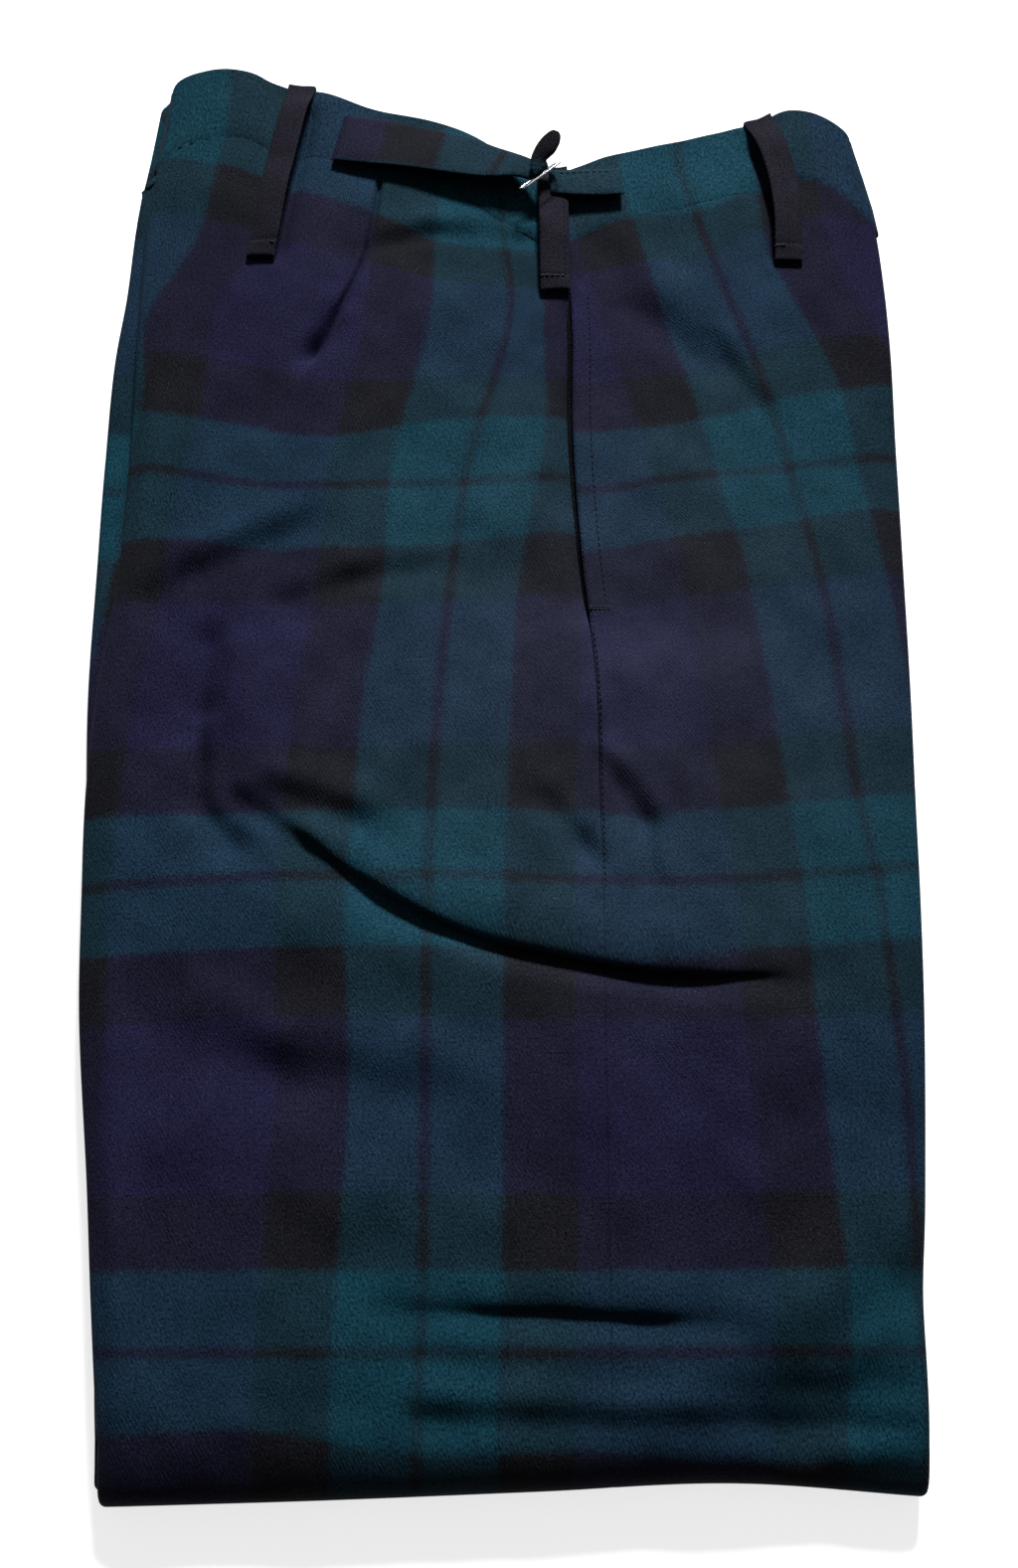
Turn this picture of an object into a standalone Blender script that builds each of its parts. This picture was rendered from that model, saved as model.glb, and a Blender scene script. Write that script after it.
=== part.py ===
"""Tartan trews, folded on their leg creases and in half at the knee, lying flat.

The right leg is on top. Its back and front panels run from the waistband down to the
knee fold, round it, and back under the stack to the hem. The layers between them are one
solid, layered at its edges. Sizes are in millimetres until a mesh is made: x runs from
the middle towards the front crease, y from the knee fold to the waist and z up from the
surface that the trews lie on.
"""
import math

import bmesh
import bpy
import numpy as np
from mathutils import Vector

MM = 0.001
MERGE = 1e-6              # metres: points closer than this become one
SHARP_ANGLE = 40.0        # degrees: edges bent more than this stay crisp
MIDDLE = (-0.5, 289.9)    # x and y of the middle of the whole part
HEM = 478.0               # where the legs that are folded under end
WALL = 1.8                # napped wool cloth
SEAM_GAP = 0.3            # between pieces that meet at a seam
LIE_GAP = 0.6             # under a piece that lies on another
TUCK = 8.0                # how far a panel turns under at its crease
TUCK_CLEAR = 1.1          # from the end of the tuck to the layers inside it
KNEE_REACH = 17.0         # how far the knee fold bulges past its own centre
NOSE_LEAST = 4.4          # least height of one leg at its crease
LOW_NOSE = 4.6            # height of a folded-under leg at its crease
LOW_NOSE_RUN = 60.0       # over which the knee fold's height falls to that
NEAR_KNEE_RUN = 96.0      # where the underside's rows are close together
SLIT = 0.3                # between the upper and the lower half of the left leg
SLIT_DEPTH = 8.0
OVERHANG = 6.0            # most that the upper layers reach out past the lower ones
UNDER_SEAM = 1.5          # how far short of the waistband the hidden layers end
LEVEL_SHARE = 0.45        # of the half width, from the middle, that lies level
FOLDS_SHARE = 0.86        # of the half width that the folds reach
FOLDS_FADE = 0.1
PANEL_COLUMNS = 9         # across one panel, seam to crease
ARC_ANGLES = (45, 90, 135, 180)
HIDDEN_EDGE_POINTS = len(ARC_ANGLES) + 5
HIDDEN_COLUMNS = 2 * PANEL_COLUMNS - 1
TURN_ANGLES = (22.5, 45, 67.5, 90)

BAND_HEIGHT = 37.6        # waistband, seam to top edge
BAND_WALL = 3.0
BAND_PROUD = 0.8          # above the panels
BAND_STEP = 6.0           # over which what lies on it rises by that
BAND_NOSE = 6.6           # height of its turned end
BAND_OPENING = 1.2        # flattened waist between the two halves
BAND_PEEK = 7.0           # how far the left half shows past the right one at the back
BAND_SHARES = (0.0, 0.3, 0.65, 1.0)
UNDER_BAND_EDGE = 4.2     # height of the left half at its own creases
UNDER_BAND_ROUND = 1.5

LOOP_WIDTH = 12.9
LOOP_WALL = 2.2
LOOP_FOOT = 9.0           # length of the turned-under end
LOOP_FOOT_RISE = 0.9      # how much thicker it is
LOOP_DROP = 3.0           # how far a loop bends down over the top edge
LOOP_CLEAR = 1.0          # from the top edge to where that bend starts
LOOP_STEP = 0.02          # share of its length over which the foot thins out
LOOP_ROWS = 8

STRAP_WALL = 2.0
STRIP_CHAMFER = 0.4
BUCKLE_PLACE = (17.0, 518.0)
BUCKLE_HEADING = 52.0     # degrees from +X, seen from above
BUCKLE_HALF_LENGTH = 8.6  # along the middle of the wire
BUCKLE_HALF_HEIGHT = 2.9
BUCKLE_RISE = 7.2         # middle of the frame above the waistband
BUCKLE_WIRE = 0.9         # radius
BUCKLE_CORNER = 1.6

SECTION_COLUMNS = ("y", "back", "seam", "front", "crown", "edge", "peek", "low_back", "low_front")
SECTIONS = (
    (17, -133, 37, 142, 26.0, 25.5, 2.0, -133, 142),
    (65, -139, 37, 144, 27.0, 25.0, 0.0, -136, 141),
    (98, -142, 37, 147, 27.6, 23.5, -1.0, -135, 139),
    (168, -150, 37, 152, 28.2, 21.0, -1.0, -131, 134),
    (206, -152.5, 37, 154, 28.4, 19.5, -1.0, -129, 131),
    (245, -154.6, 36.6, 155.7, 28.3, 18.0, 0.5, -126, 128),
    (286, -156.6, 36, 157.7, 28.0, 16.5, 4.0, -122, 124),
    (346, -152.5, 32, 159.3, 27.6, 15.0, 10.0, -117, 120),
    (396, -151.5, 29.5, 160.3, 27.0, 14.5, 11.0, -112, 116),
    (443, -150.4, 28.8, 161.3, 26.2, 14.2, 9.5, -107, 113),
    (472, -149.2, 27.5, 161.6, 25.4, 14.0, 7.0, -104, 111),
    (512, -147.0, 23, 158.0, 23.0, 13.8, 6.0, -100, 108),
    (549, -141.5, 23, 150.5, 18.8, 13.4, 7.0, -97, 106),
    (581, -138.0, 23, 147.0, 15.6, 13.0, 7.0, -95, 104),
)
KNEE_EDGE = ((-134, 0.0), (-62, 0.6), (12, 3.0), (78, 5.5), (142, 2.5))
WAIST_TOP = ((-154, 556), (-139, 571), (-115, 581), (-95, 573), (-58, 558), (-18, 547), (5, 533),
             (23, 525.5), (44, 532), (83, 544), (124, 559), (143, 553), (162, 541))
SEAM_MIDDLE = 500.0       # about the middle of the waistband's seam
SEAM_BEND = 330.0         # from here up, rows bend towards the waistband's seam
KNEE_FADE = 40.0          # over which they stop following the knee fold's edge

BIG_FOLD = ((-103, 246), (-76, 236), (-56, 209), (-37, 197), (-8, 186), (20, 179), (48, 174), (110, 173))
BIG_FOLD_MIDDLE = 178.0
BIG_FOLD_REACH = 24.0     # rows this near follow the fold fully, and fade out beyond
BIG_FOLD_FADE = 130.0
LOW_FOLD = ((-50, 69), (-10, 63), (40, 58), (80, 61))
LOW_FOLD_MIDDLE = 61.0
LOW_FOLD_REACH = 10.0
LOW_FOLD_FADE = 28.0
LIP_SHIFT = 0.7           # of its own width, from the fold's line to its lip
TROUGH_SHIFT = 0.8        # of its own width, from the line to the trough
EDGE_FOLD_COLUMNS = ("line", "start", "full", "fade", "end", "lip", "lip_width", "trough", "trough_width")
EDGE_FOLDS = (
    (BIG_FOLD, -100, -52, 84, 122, 2.6, 13.0, 4.6, 6.0),
    (LOW_FOLD, -52, -25, 55, 92, 1.6, 9.0, 2.4, 5.0),
)
SOFT_FOLD_COLUMNS = ("name", "x0", "y0", "x1", "y1", "width", "rise")
SOFT_FOLDS = (
    ("hip", -56, 487, -2, 494, 15, -1.6),
    ("front_hip", 56, 482, 86, 432, 16, -1.6),
    ("front_thigh", 86, 432, 108, 408, 14, -1.3),
    ("back_thigh", -140, 327, -100, 352, 13, -2.4),
    ("middle", -70, 326, 30, 352, 12, -1.8),
    ("seat_drop", -113, 305, -104, 232, 11, -2.6),
    ("seat_drop_inner", -66, 318, -60, 262, 12, -1.8),
    ("seat_hollow", -80, 262, -54, 236, 15, -2.4),
    ("seam_back", 20, 262, 32, 240, 9, -1.6),
    ("seam_front", 46, 255, 54, 222, 9, -1.6),
    ("knee_back", -134, 168, -30, 138, 16, -1.8),
    ("knee_mark", -80, 81, -46, 81, 10, -1.0),
    ("knee_front", 118, 62, 142, 94, 12, -1.6),
    ("knee_band", -2, 34, 114, 25, 9, -1.2),
)
POCKET = (315, 462)       # the pocket mouth, along the side seam
POCKET_RISE = 1.1
POCKET_FADE = 16.0
POCKET_TURN = 16.0        # width of the front panel's turned edge

LOOP_COLUMNS = ("name", "x_foot", "y_foot", "x_top", "bow")
LOOPS = (
    ("belt_loop_back", -96.5, 477, -83.5, 0.0),
    ("belt_loop_side", 22.5, 460, 22.0, 0.0),
    ("belt_loop_front", 118.5, 475, 109.5, 2.0),
)
STRIP_COLUMNS = ("x", "y", "rise", "width", "heading", "pitch", "roll", "follows")
STRAP = (
    (-69.0, 538.0, 1.7, 24.0, -10, 0, 0, 1.0),
    (-45.0, 534.0, 2.4, 22.5, -10, 2, 2, 1.0),
    (-22.0, 530.0, 4.0, 20.5, -10, 4, 4, 1.0),
    (-4.0, 526.0, 6.2, 15.5, -14, 6, 4, 1.0),
    (8.0, 522.0, 7.6, 10.5, -26, 3, 0, 0.6),
    (17.0, 518.0, 7.8, 8.5, -38, 0, 0, 0.0),
    (18.3, 517.0, 8.5, 8.5, -38, 45, 0, 0.0),
    (18.8, 516.6, 10.1, 8.5, -38, 90, 0, 0.0),
    (18.3, 517.0, 11.7, 8.5, -38, 135, 0, 0.0),
    (17.0, 518.0, 12.4, 8.5, -38, 180, 0, 0.0),
    (12.8, 521.6, 12.8, 8.5, -46, 178, 0, 0.0),
    (12.4, 527.0, 13.4, 9.0, -80, 174, -8, 0.0),
    (14.6, 534.0, 14.6, 7.5, -106, 172, -16, 0.0),
)
TAB = (
    (18.2, 517.2, 4.6, 12.5, -38, 0, 0, 0.0),
    (24.0, 514.4, 4.6, 14.5, -24, 0, 0, 0.5),
    (31.0, 512.0, 4.0, 15.5, -15, -4, 0, 1.0),
    (38.5, 510.2, 2.2, 16.0, -12, -4, 0, 1.0),
    (50.0, 507.8, 1.7, 16.5, -12, 0, 0, 1.0),
)

CLOTH_ROUGHNESS = 0.95
METAL_ROUGHNESS = 0.3
BACK_COLOUR = (0.022, 0.045, 0.085)
FRONT_COLOUR = (0.018, 0.052, 0.075)
HIDDEN_COLOUR = (0.012, 0.022, 0.038)
BAND_COLOUR = (0.016, 0.055, 0.065)
LOOP_COLOUR = (0.016, 0.017, 0.032)
STRAP_COLOUR = (0.03, 0.032, 0.065)
METAL_COLOUR = (0.75, 0.76, 0.78)


def named(columns, rows):
    """The rows of a table as dictionaries, one key for each column."""
    return [dict(zip(columns, row)) for row in rows]


EDGE_FOLD_ROWS = named(EDGE_FOLD_COLUMNS, EDGE_FOLDS)
SOFT_FOLD_ROWS = named(SOFT_FOLD_COLUMNS, SOFT_FOLDS)
CURVES = {name: [(row[0], row[i]) for row in SECTIONS] for i, name in enumerate(SECTION_COLUMNS)}


def along(points, value):
    """A smooth curve through (position, value) pairs, level beyond its two ends."""
    places = np.array([point[0] for point in points], dtype=float)
    values = np.array([point[1] for point in points], dtype=float)
    slopes = np.gradient(values, places)
    value = min(max(value, places[0]), places[-1])
    i = min(max(int(np.searchsorted(places, value)) - 1, 0), len(places) - 2)
    step = places[i + 1] - places[i]
    t = (value - places[i]) / step
    line = values[i] * (2 * t ** 3 - 3 * t ** 2 + 1) + values[i + 1] * (3 * t ** 2 - 2 * t ** 3)
    return line + step * (slopes[i] * (t ** 3 - 2 * t ** 2 + t) + slopes[i + 1] * (t ** 3 - t ** 2))


def smooth(value):
    """0 below 0, 1 above 1 and an even S between."""
    value = min(max(value, 0.0), 1.0)
    return value * value * (3.0 - 2.0 * value)


def near(value, middle, reach, fade):
    """1 within reach of the middle, falling to 0 over the fade."""
    return 1.0 - smooth((abs(value - middle) - reach) / fade)


def section(column, y):
    """One size of the folded trews at the distance y from the knee fold."""
    return along(CURVES[column], y)


def waist_top(x):
    return along(WAIST_TOP, x)


def waist_seam(x):
    return waist_top(x) - BAND_HEIGHT


def pocket_rise(x, y):
    """The front panel's turned edge lies on the back panel along the pocket mouth."""
    from_seam = x - section("seam", y)
    if from_seam < 0:
        return 0.0
    ends = smooth((y - POCKET[0]) / POCKET_FADE + 0.5) * smooth((POCKET[1] - y) / POCKET_FADE)
    return POCKET_RISE * ends * (1.0 - smooth(from_seam / POCKET_TURN))


def edge_fold(fold, x, y):
    """A fold with a raised lip on its waist side and a trough under the lip."""
    share = smooth((x - fold["start"]) / (fold["full"] - fold["start"]))
    share *= 1.0 - smooth((x - fold["fade"]) / (fold["end"] - fold["fade"]))
    off = y - along(fold["line"], x)
    lip = fold["lip"] * math.exp(-(off / fold["lip_width"] - LIP_SHIFT) ** 2)
    trough = fold["trough"] * math.exp(-(off / fold["trough_width"] + TROUGH_SHIFT) ** 2)
    return share * (lip - trough)


def soft_fold(fold, x, y):
    """A shallow trough along a straight line, fading round its ends."""
    run_x, run_y = fold["x1"] - fold["x0"], fold["y1"] - fold["y0"]
    t = ((x - fold["x0"]) * run_x + (y - fold["y0"]) * run_y) / (run_x ** 2 + run_y ** 2)
    t = min(max(t, 0.0), 1.0)
    off = math.hypot(x - fold["x0"] - t * run_x, y - fold["y0"] - t * run_y)
    return fold["rise"] * math.exp(-(off / fold["width"]) ** 2)


def height(x, y):
    """The upper side of the folded trews, without the waistband's thickness."""
    back, front = section("back", y), section("front", y)
    edge, crown = section("edge", y), section("crown", y)
    side = min(abs(2 * x - back - front) / (front - back), 1.0)
    level = edge + (crown - edge) * (1.0 - smooth((side - LEVEL_SHARE) / (1.0 - LEVEL_SHARE)))
    folds = sum(edge_fold(fold, x, y) for fold in EDGE_FOLD_ROWS)
    folds += sum(soft_fold(fold, x, y) for fold in SOFT_FOLD_ROWS)
    inside = 1.0 - smooth((side - FOLDS_SHARE) / FOLDS_FADE)
    return level + inside * folds + pocket_rise(x, y)


def resting_level(x, y):
    """What a loop or strap lies on: the waistband, or the panels below its seam."""
    return height(x, y) + BAND_PROUD * smooth((y - waist_seam(x)) / BAND_STEP + 1.0)


class Upper:
    """A row across the upper side, bent to run along the folds that it meets."""

    def __init__(self, nominal):
        self.nominal = nominal

    def y(self, x):
        at_big = near(self.nominal, BIG_FOLD_MIDDLE, BIG_FOLD_REACH, BIG_FOLD_FADE)
        at_low = near(self.nominal, LOW_FOLD_MIDDLE, LOW_FOLD_REACH, LOW_FOLD_FADE)
        y = self.nominal + near(self.nominal, KNEE_REACH, 0.0, KNEE_FADE) * along(KNEE_EDGE, x)
        y += at_big * (along(BIG_FOLD, x) - BIG_FOLD_MIDDLE)
        y += at_low * (along(LOW_FOLD, x) - LOW_FOLD_MIDDLE)
        to_waist = smooth((self.nominal - SEAM_BEND) / (SEAM_MIDDLE - SEAM_BEND))
        return y + to_waist * (waist_seam(x) - SEAM_GAP - SEAM_MIDDLE)

    def size(self, column, x):
        return section(column, self.y(x))

    def crease(self, side):
        column = "front" if side > 0 else "back"
        return self.size(column, self.size(column, 0.0))

    def seam(self):
        return self.size("seam", self.size("seam", 0.0))

    def nose(self, side):
        """Height of the right leg's rounded crease."""
        return max(NOSE_LEAST, self.size("edge", self.crease(side)) / 4)

    def peek(self, side):
        return self.size("peek", self.crease(side)) if side < 0 else 0.0

    def edge_level(self, side):
        return height(self.crease(side), self.y(self.crease(side)))

    def place(self, x, depth, level_x):
        y = self.y(x)
        return x, y, height(level_x, y) - depth


class Band(Upper):
    """A row across the waistband, a share of its height above the seam."""

    def y(self, x):
        return waist_seam(x) + self.nominal * BAND_HEIGHT


class Turn(Upper):
    """A row round the knee fold: 0 degrees faces up and 180 degrees faces down."""

    def __init__(self, angle):
        super().__init__(KNEE_REACH)
        self.angle = math.radians(angle)

    def place(self, x, depth, level_x):
        half = height(level_x, self.y(x)) / 2
        y = self.y(x) - (KNEE_REACH - depth) * math.sin(self.angle)
        return x, y, half + (half - depth) * math.cos(self.angle)


class Lower(Upper):
    """A row across the flat underside, between the knee fold and the hem."""

    def bend(self):
        return 1.0 - smooth((self.nominal - KNEE_REACH) / LOW_NOSE_RUN)

    def y(self, x):
        return self.nominal + self.bend() * along(KNEE_EDGE, x)

    def crease(self, side):
        knee = Upper(KNEE_REACH).crease(side)
        low = section("low_front" if side > 0 else "low_back", self.nominal)
        return self.bend() * knee + (1.0 - self.bend()) * low

    def seam(self):
        """The side seam keeps its share of the lower leg's width."""
        knee = Upper(KNEE_REACH)
        share = (knee.seam() - knee.crease(-1)) / (knee.crease(1) - knee.crease(-1))
        return self.crease(-1) + share * (self.crease(1) - self.crease(-1))

    def nose(self, side):
        return LOW_NOSE + self.bend() * (Upper(KNEE_REACH).nose(side) - LOW_NOSE)

    def peek(self, side):
        return Upper(KNEE_REACH).peek(side)

    def place(self, x, depth, level_x):
        return x, self.y(x), depth


def upper_rows():
    """Rows from the waistband's seam to the knee fold, closer together at the folds."""
    at_big_fold = [BIG_FOLD_MIDDLE + step for step in (24, 12, 4, -1, -6, -12, -24)]
    at_low_fold = [LOW_FOLD_MIDDLE + step for step in (10, 2, -4, -12)]
    waistwards = np.linspace(SEAM_MIDDLE, BIG_FOLD_MIDDLE + 46, 13)
    between = np.linspace(BIG_FOLD_MIDDLE - 42, LOW_FOLD_MIDDLE + 26, 4)
    rows = [*waistwards, *at_big_fold, *between, *at_low_fold, 33.0, KNEE_REACH]
    return [Upper(float(y)) for y in rows]


def partner(row):
    """The row of the underside that lies below a row of the upper side."""
    share = (row.nominal - KNEE_REACH) / (SEAM_MIDDLE - KNEE_REACH)
    return Lower(KNEE_REACH + share * (HEM - KNEE_REACH))


def panel_rows():
    """Upper side, knee fold and underside, in one run. The flat part takes every third row."""
    upper = upper_rows()
    angles = [*TURN_ANGLES, *(180 - angle for angle in TURN_ANGLES[-2::-1])]
    lower = [partner(row) for row in upper[::-1]]
    near_knee = [row for row in lower if row.nominal < KNEE_REACH + NEAR_KNEE_RUN]
    far = lower[len(near_knee):]
    return upper + [Turn(angle) for angle in angles] + near_knee + far[2:-2:3] + far[-1:]


def wall_columns(row, side, radius):
    """Where a panel's points lie between its seam and its crease's turn."""
    start = row.seam() + side * SEAM_GAP / 2
    end = row.crease(side) - side * (radius + TUCK + TUCK_CLEAR)
    return [float(x) for x in np.linspace(start, end, PANEL_COLUMNS)]


def crease_turn(flat_end, side, radius, wall):
    """Outer and inner (x, depth) points round a crease, from above it to its tuck's end."""
    outer, inner = [(flat_end, 0.0)], [(flat_end, wall)]
    for angle in ARC_ANGLES:
        out, down = math.sin(math.radians(angle)), math.cos(math.radians(angle))
        outer.append((flat_end + side * radius * out, radius * (1.0 - down)))
        inner.append((flat_end + side * (radius - wall) * out, radius - (radius - wall) * down))
    outer.append((flat_end - side * TUCK, 2 * radius))
    inner.append((flat_end - side * TUCK, 2 * radius - wall))
    return outer, inner


def ring(row, outer, inner):
    """A closed ring across a row: the outer points, then the inner ones back."""
    return [row.place(x, depth, x) for x, depth in outer + inner[::-1]]


def panel_ring(row, side):
    radius = row.nose(side) / 2
    turn_outer, turn_inner = crease_turn(row.crease(side) - side * radius, side, radius, WALL)
    columns = wall_columns(row, side, radius)
    outer = [(x, 0.0) for x in columns] + turn_outer
    inner = [(x, WALL) for x in columns] + turn_inner
    return ring(row, outer, inner)


def hidden_edge(row, other, side, upper):
    """The hidden layers at one crease, from the step inside the tuck to the slit."""
    crease, high = row.crease(side), row.nose(side)
    flat_end = crease - side * high / 2
    half = (high - SEAM_GAP - SLIT / 2) / 2
    centre = crease + side * (row.peek(side) - half)
    top = high + SEAM_GAP
    step = flat_end - side * (TUCK + TUCK_CLEAR / 2)
    points = [(step, top, step), (flat_end, top, flat_end)]
    for angle in (0, *ARC_ANGLES):
        out, down = math.sin(math.radians(angle)), math.cos(math.radians(angle))
        points.append((centre + side * half * out, top + half * (1.0 - down), crease))
    inward, slit_x = centre - side, other.crease(side) - side * SLIT_DEPTH
    below, slit = top + 2 * half, top + 2 * half
    if upper:
        level = row.edge_level(side)
        slit = level - 2 * other.nose(side) - SLIT / 2
        below = min(below, slit)
        inward = side * min(side * inward, side * other.crease(side) + OVERHANG)
    else:
        slit_x = crease - side * SLIT_DEPTH
    return points + [(inward, below, crease), (slit_x, slit, crease)]


def hidden_half(row, other, upper):
    """The hidden layers across a row, from the slit at the back to the slit at the front."""
    inside = WALL + SEAM_GAP
    columns = {side: wall_columns(row, side, row.nose(side) / 2) for side in (-1, 1)}
    middle = [(x, inside, x) for x in columns[-1][::-1] + columns[1][1:]]
    back, front = (hidden_edge(row, other, side, upper) for side in (-1, 1))
    return [row.place(*point) for point in back[::-1] + middle + front]


def hidden_ring(row, below):
    return hidden_half(row, below, True) + hidden_half(below, row, False)[::-1]


def hidden_end(row, below):
    """The ring where the upper layers end at the waist, past the hems of the lower ones."""
    level = 2 * below.nose(1) - SLIT / 2
    lower = []
    for i, point in enumerate(hidden_half(below, row, False)):
        side = -1 if i < HIDDEN_EDGE_POINTS else 1
        x = point[0]
        if i < HIDDEN_EDGE_POINTS or i >= HIDDEN_EDGE_POINTS + HIDDEN_COLUMNS:
            x = below.crease(side) - side * (SLIT_DEPTH + 1)
        lower.append((x, row.y(x), level))
    return hidden_half(row, below, True) + lower[::-1]


def hidden_cap():
    """Faces that close the end ring: one at each crease and strips between them."""
    last = 2 * (2 * HIDDEN_EDGE_POINTS + HIDDEN_COLUMNS) - 1
    first, end = HIDDEN_EDGE_POINTS, HIDDEN_EDGE_POINTS + HIDDEN_COLUMNS - 1
    strips = [(i, i + 1, last - i - 1, last - i) for i in range(first, end)]
    back = [*range(0, first + 1), *range(last - first, last + 1)]
    front = [*range(end, last - end + 1)]
    return [back, front, *strips]


def band_columns(row):
    """Where the waistband's points lie between its two turned ends: as the panels' do."""
    back, front = (wall_columns(row, side, row.nose(side) / 2) for side in (-1, 1))
    return back[:0:-1] + [row.seam()] + front[1:]


def band_ring(row):
    """The right half of the waistband, which turns under at both creases."""
    radius = BAND_NOSE / 2
    back_outer, back_inner = crease_turn(row.crease(-1) + row.nose(-1) / 2, -1, radius, BAND_WALL)
    front_outer, front_inner = crease_turn(row.crease(1) - row.nose(1) / 2, 1, radius, BAND_WALL)
    columns = band_columns(row)
    outer = back_outer[::-1] + [(x, 0.0) for x in columns] + front_outer
    inner = back_inner[::-1] + [(x, BAND_WALL) for x in columns] + front_inner
    raised = [[(x, depth - BAND_PROUD) for x, depth in points] for points in (outer, inner)]
    return ring(row, *raised)


def under_band_end(row, side):
    """(x, depth, wall) points of the waistband's left half, from inside the tuck outwards."""
    crease = row.crease(side)
    flat_end = crease - side * row.nose(side) / 2
    tip = crease - BAND_PEEK if side < 0 else crease
    under_tuck = BAND_NOSE - BAND_PROUD + SEAM_GAP
    return [(flat_end - side * (TUCK + TUCK_CLEAR / 2), under_tuck, BAND_WALL),
            (flat_end, under_tuck, UNDER_BAND_EDGE),
            (tip - side * UNDER_BAND_ROUND, under_tuck, UNDER_BAND_EDGE),
            (tip, under_tuck + UNDER_BAND_ROUND, UNDER_BAND_EDGE - 2 * UNDER_BAND_ROUND)]


def under_band_ring(row):
    """The left half of the waistband, inside the right half's turned ends."""
    inside = BAND_WALL - BAND_PROUD + BAND_OPENING
    middle = [(x, inside, BAND_WALL) for x in band_columns(row)]
    points = under_band_end(row, -1)[::-1] + middle + under_band_end(row, 1)
    outer = [(x, depth) for x, depth, _ in points]
    inner = [(x, depth + wall) for x, depth, wall in points]
    return ring(row, outer, inner)


def strip_ring(row):
    """A ring across a strip: three points over it and three under it.

    Each point rises from what lies below it, or from the buckle's level on a row that
    stands free.
    """
    heading, pitch, roll = (math.radians(row[name]) for name in ("heading", "pitch", "roll"))
    level_run = math.cos(pitch)
    forward = Vector((math.cos(heading) * level_run, math.sin(heading) * level_run, math.sin(pitch)))
    flat = Vector((-math.sin(heading), math.cos(heading), 0.0))
    across = flat * math.cos(roll) + forward.cross(flat) * math.sin(roll)
    raised = forward.cross(across) * STRAP_WALL / 2
    centre, half = Vector((row["x"], row["y"], row["rise"])), row["width"] / 2
    over = [centre + across * side * (half - STRIP_CHAMFER) + raised for side in (-1, 0, 1)]
    under = [centre + across * side * half - raised for side in (1, 0, -1)]
    free = resting_level(*BUCKLE_PLACE)
    return [(x, y, z + free + row["follows"] * (resting_level(x, y) - free)) for x, y, z in over + under]


def strip(name, rows, colour):
    """A strap from its table: each row is a place, a rise and the way that it runs."""
    loft(name, [strip_ring(row) for row in named(STRIP_COLUMNS, rows)], colour)


def belt_loop(loop):
    """A flat loop from its turned-under foot up to the waistband's top edge and over it."""
    run = waist_top(loop["x_top"]) - loop["y_foot"]
    foot = LOOP_FOOT / run
    thick = [(0.0, LOOP_FOOT_RISE), (foot, LOOP_FOOT_RISE)]
    thin = [(float(share), 0.0) for share in np.linspace(foot + LOOP_STEP, 1.0, LOOP_ROWS)]
    lean = math.atan2(loop["x_top"] - loop["x_foot"], run)
    rings = []
    for share, extra in thick + thin:
        middle = loop["x_foot"] + share * (loop["x_top"] - loop["x_foot"])
        middle += loop["bow"] * math.sin(math.pi * share)
        over, under = [], []
        for off in (-LOOP_WIDTH / 2, 0.0, LOOP_WIDTH / 2):
            x = middle + off * math.cos(lean)
            y = loop["y_foot"] + share * (waist_top(x) + LOOP_CLEAR - loop["y_foot"])
            y -= (1 - share) * off * math.sin(lean)
            level = resting_level(x, y) + LIE_GAP
            over.append((x, y, level + LOOP_WALL + extra))
            under.append((x, y, level))
        rings.append(over + under[::-1])
    return rings + loop_drop(rings[-1])


def loop_drop(last):
    """The end of a belt loop, bent down over the top edge of the waistband."""
    over, under = last[:3], last[3:][::-1]
    rings = []
    for angle, drop in ((45, 0.0), (90, 0.0), (90, LOOP_DROP)):
        turn = math.radians(angle)
        bent = []
        for points, radius in ((over, LIE_GAP + LOOP_WALL), (under, LIE_GAP)):
            bent.append([(x, y + radius * math.sin(turn), z - radius * (1 - math.cos(turn)) - drop)
                         for x, y, z in points])
        rings.append(bent[0] + bent[1][::-1])
    return rings


def finish(obj, colour, roughness, metallic):
    """A material of the object's own."""
    material = bpy.data.materials.new(obj.name)
    material.use_nodes = True
    surface = material.node_tree.nodes["Principled BSDF"]
    surface.inputs["Base Color"].default_value = (*colour, 1.0)
    surface.inputs["Roughness"].default_value = roughness
    surface.inputs["Metallic"].default_value = metallic
    obj.data.materials.append(material)


def paired_caps(count):
    """Strips across an end ring, between its outer points and its inner ones."""
    return [(i, i + 1, count - 2 - i, count - 1 - i) for i in range(count // 2 - 1)]


def halves(a, b, c, d):
    """Two triangles of a four-sided face, split the same way on both sides of a wall."""
    if b.co.x > a.co.x:
        return (a, b, c), (a, c, d)
    return (a, b, d), (b, c, d)


def to_metres(point):
    """A point from the folded trews' own millimetres to the part's frame."""
    return (Vector(point) - Vector((*MIDDLE, 0.0))) * MM


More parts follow.
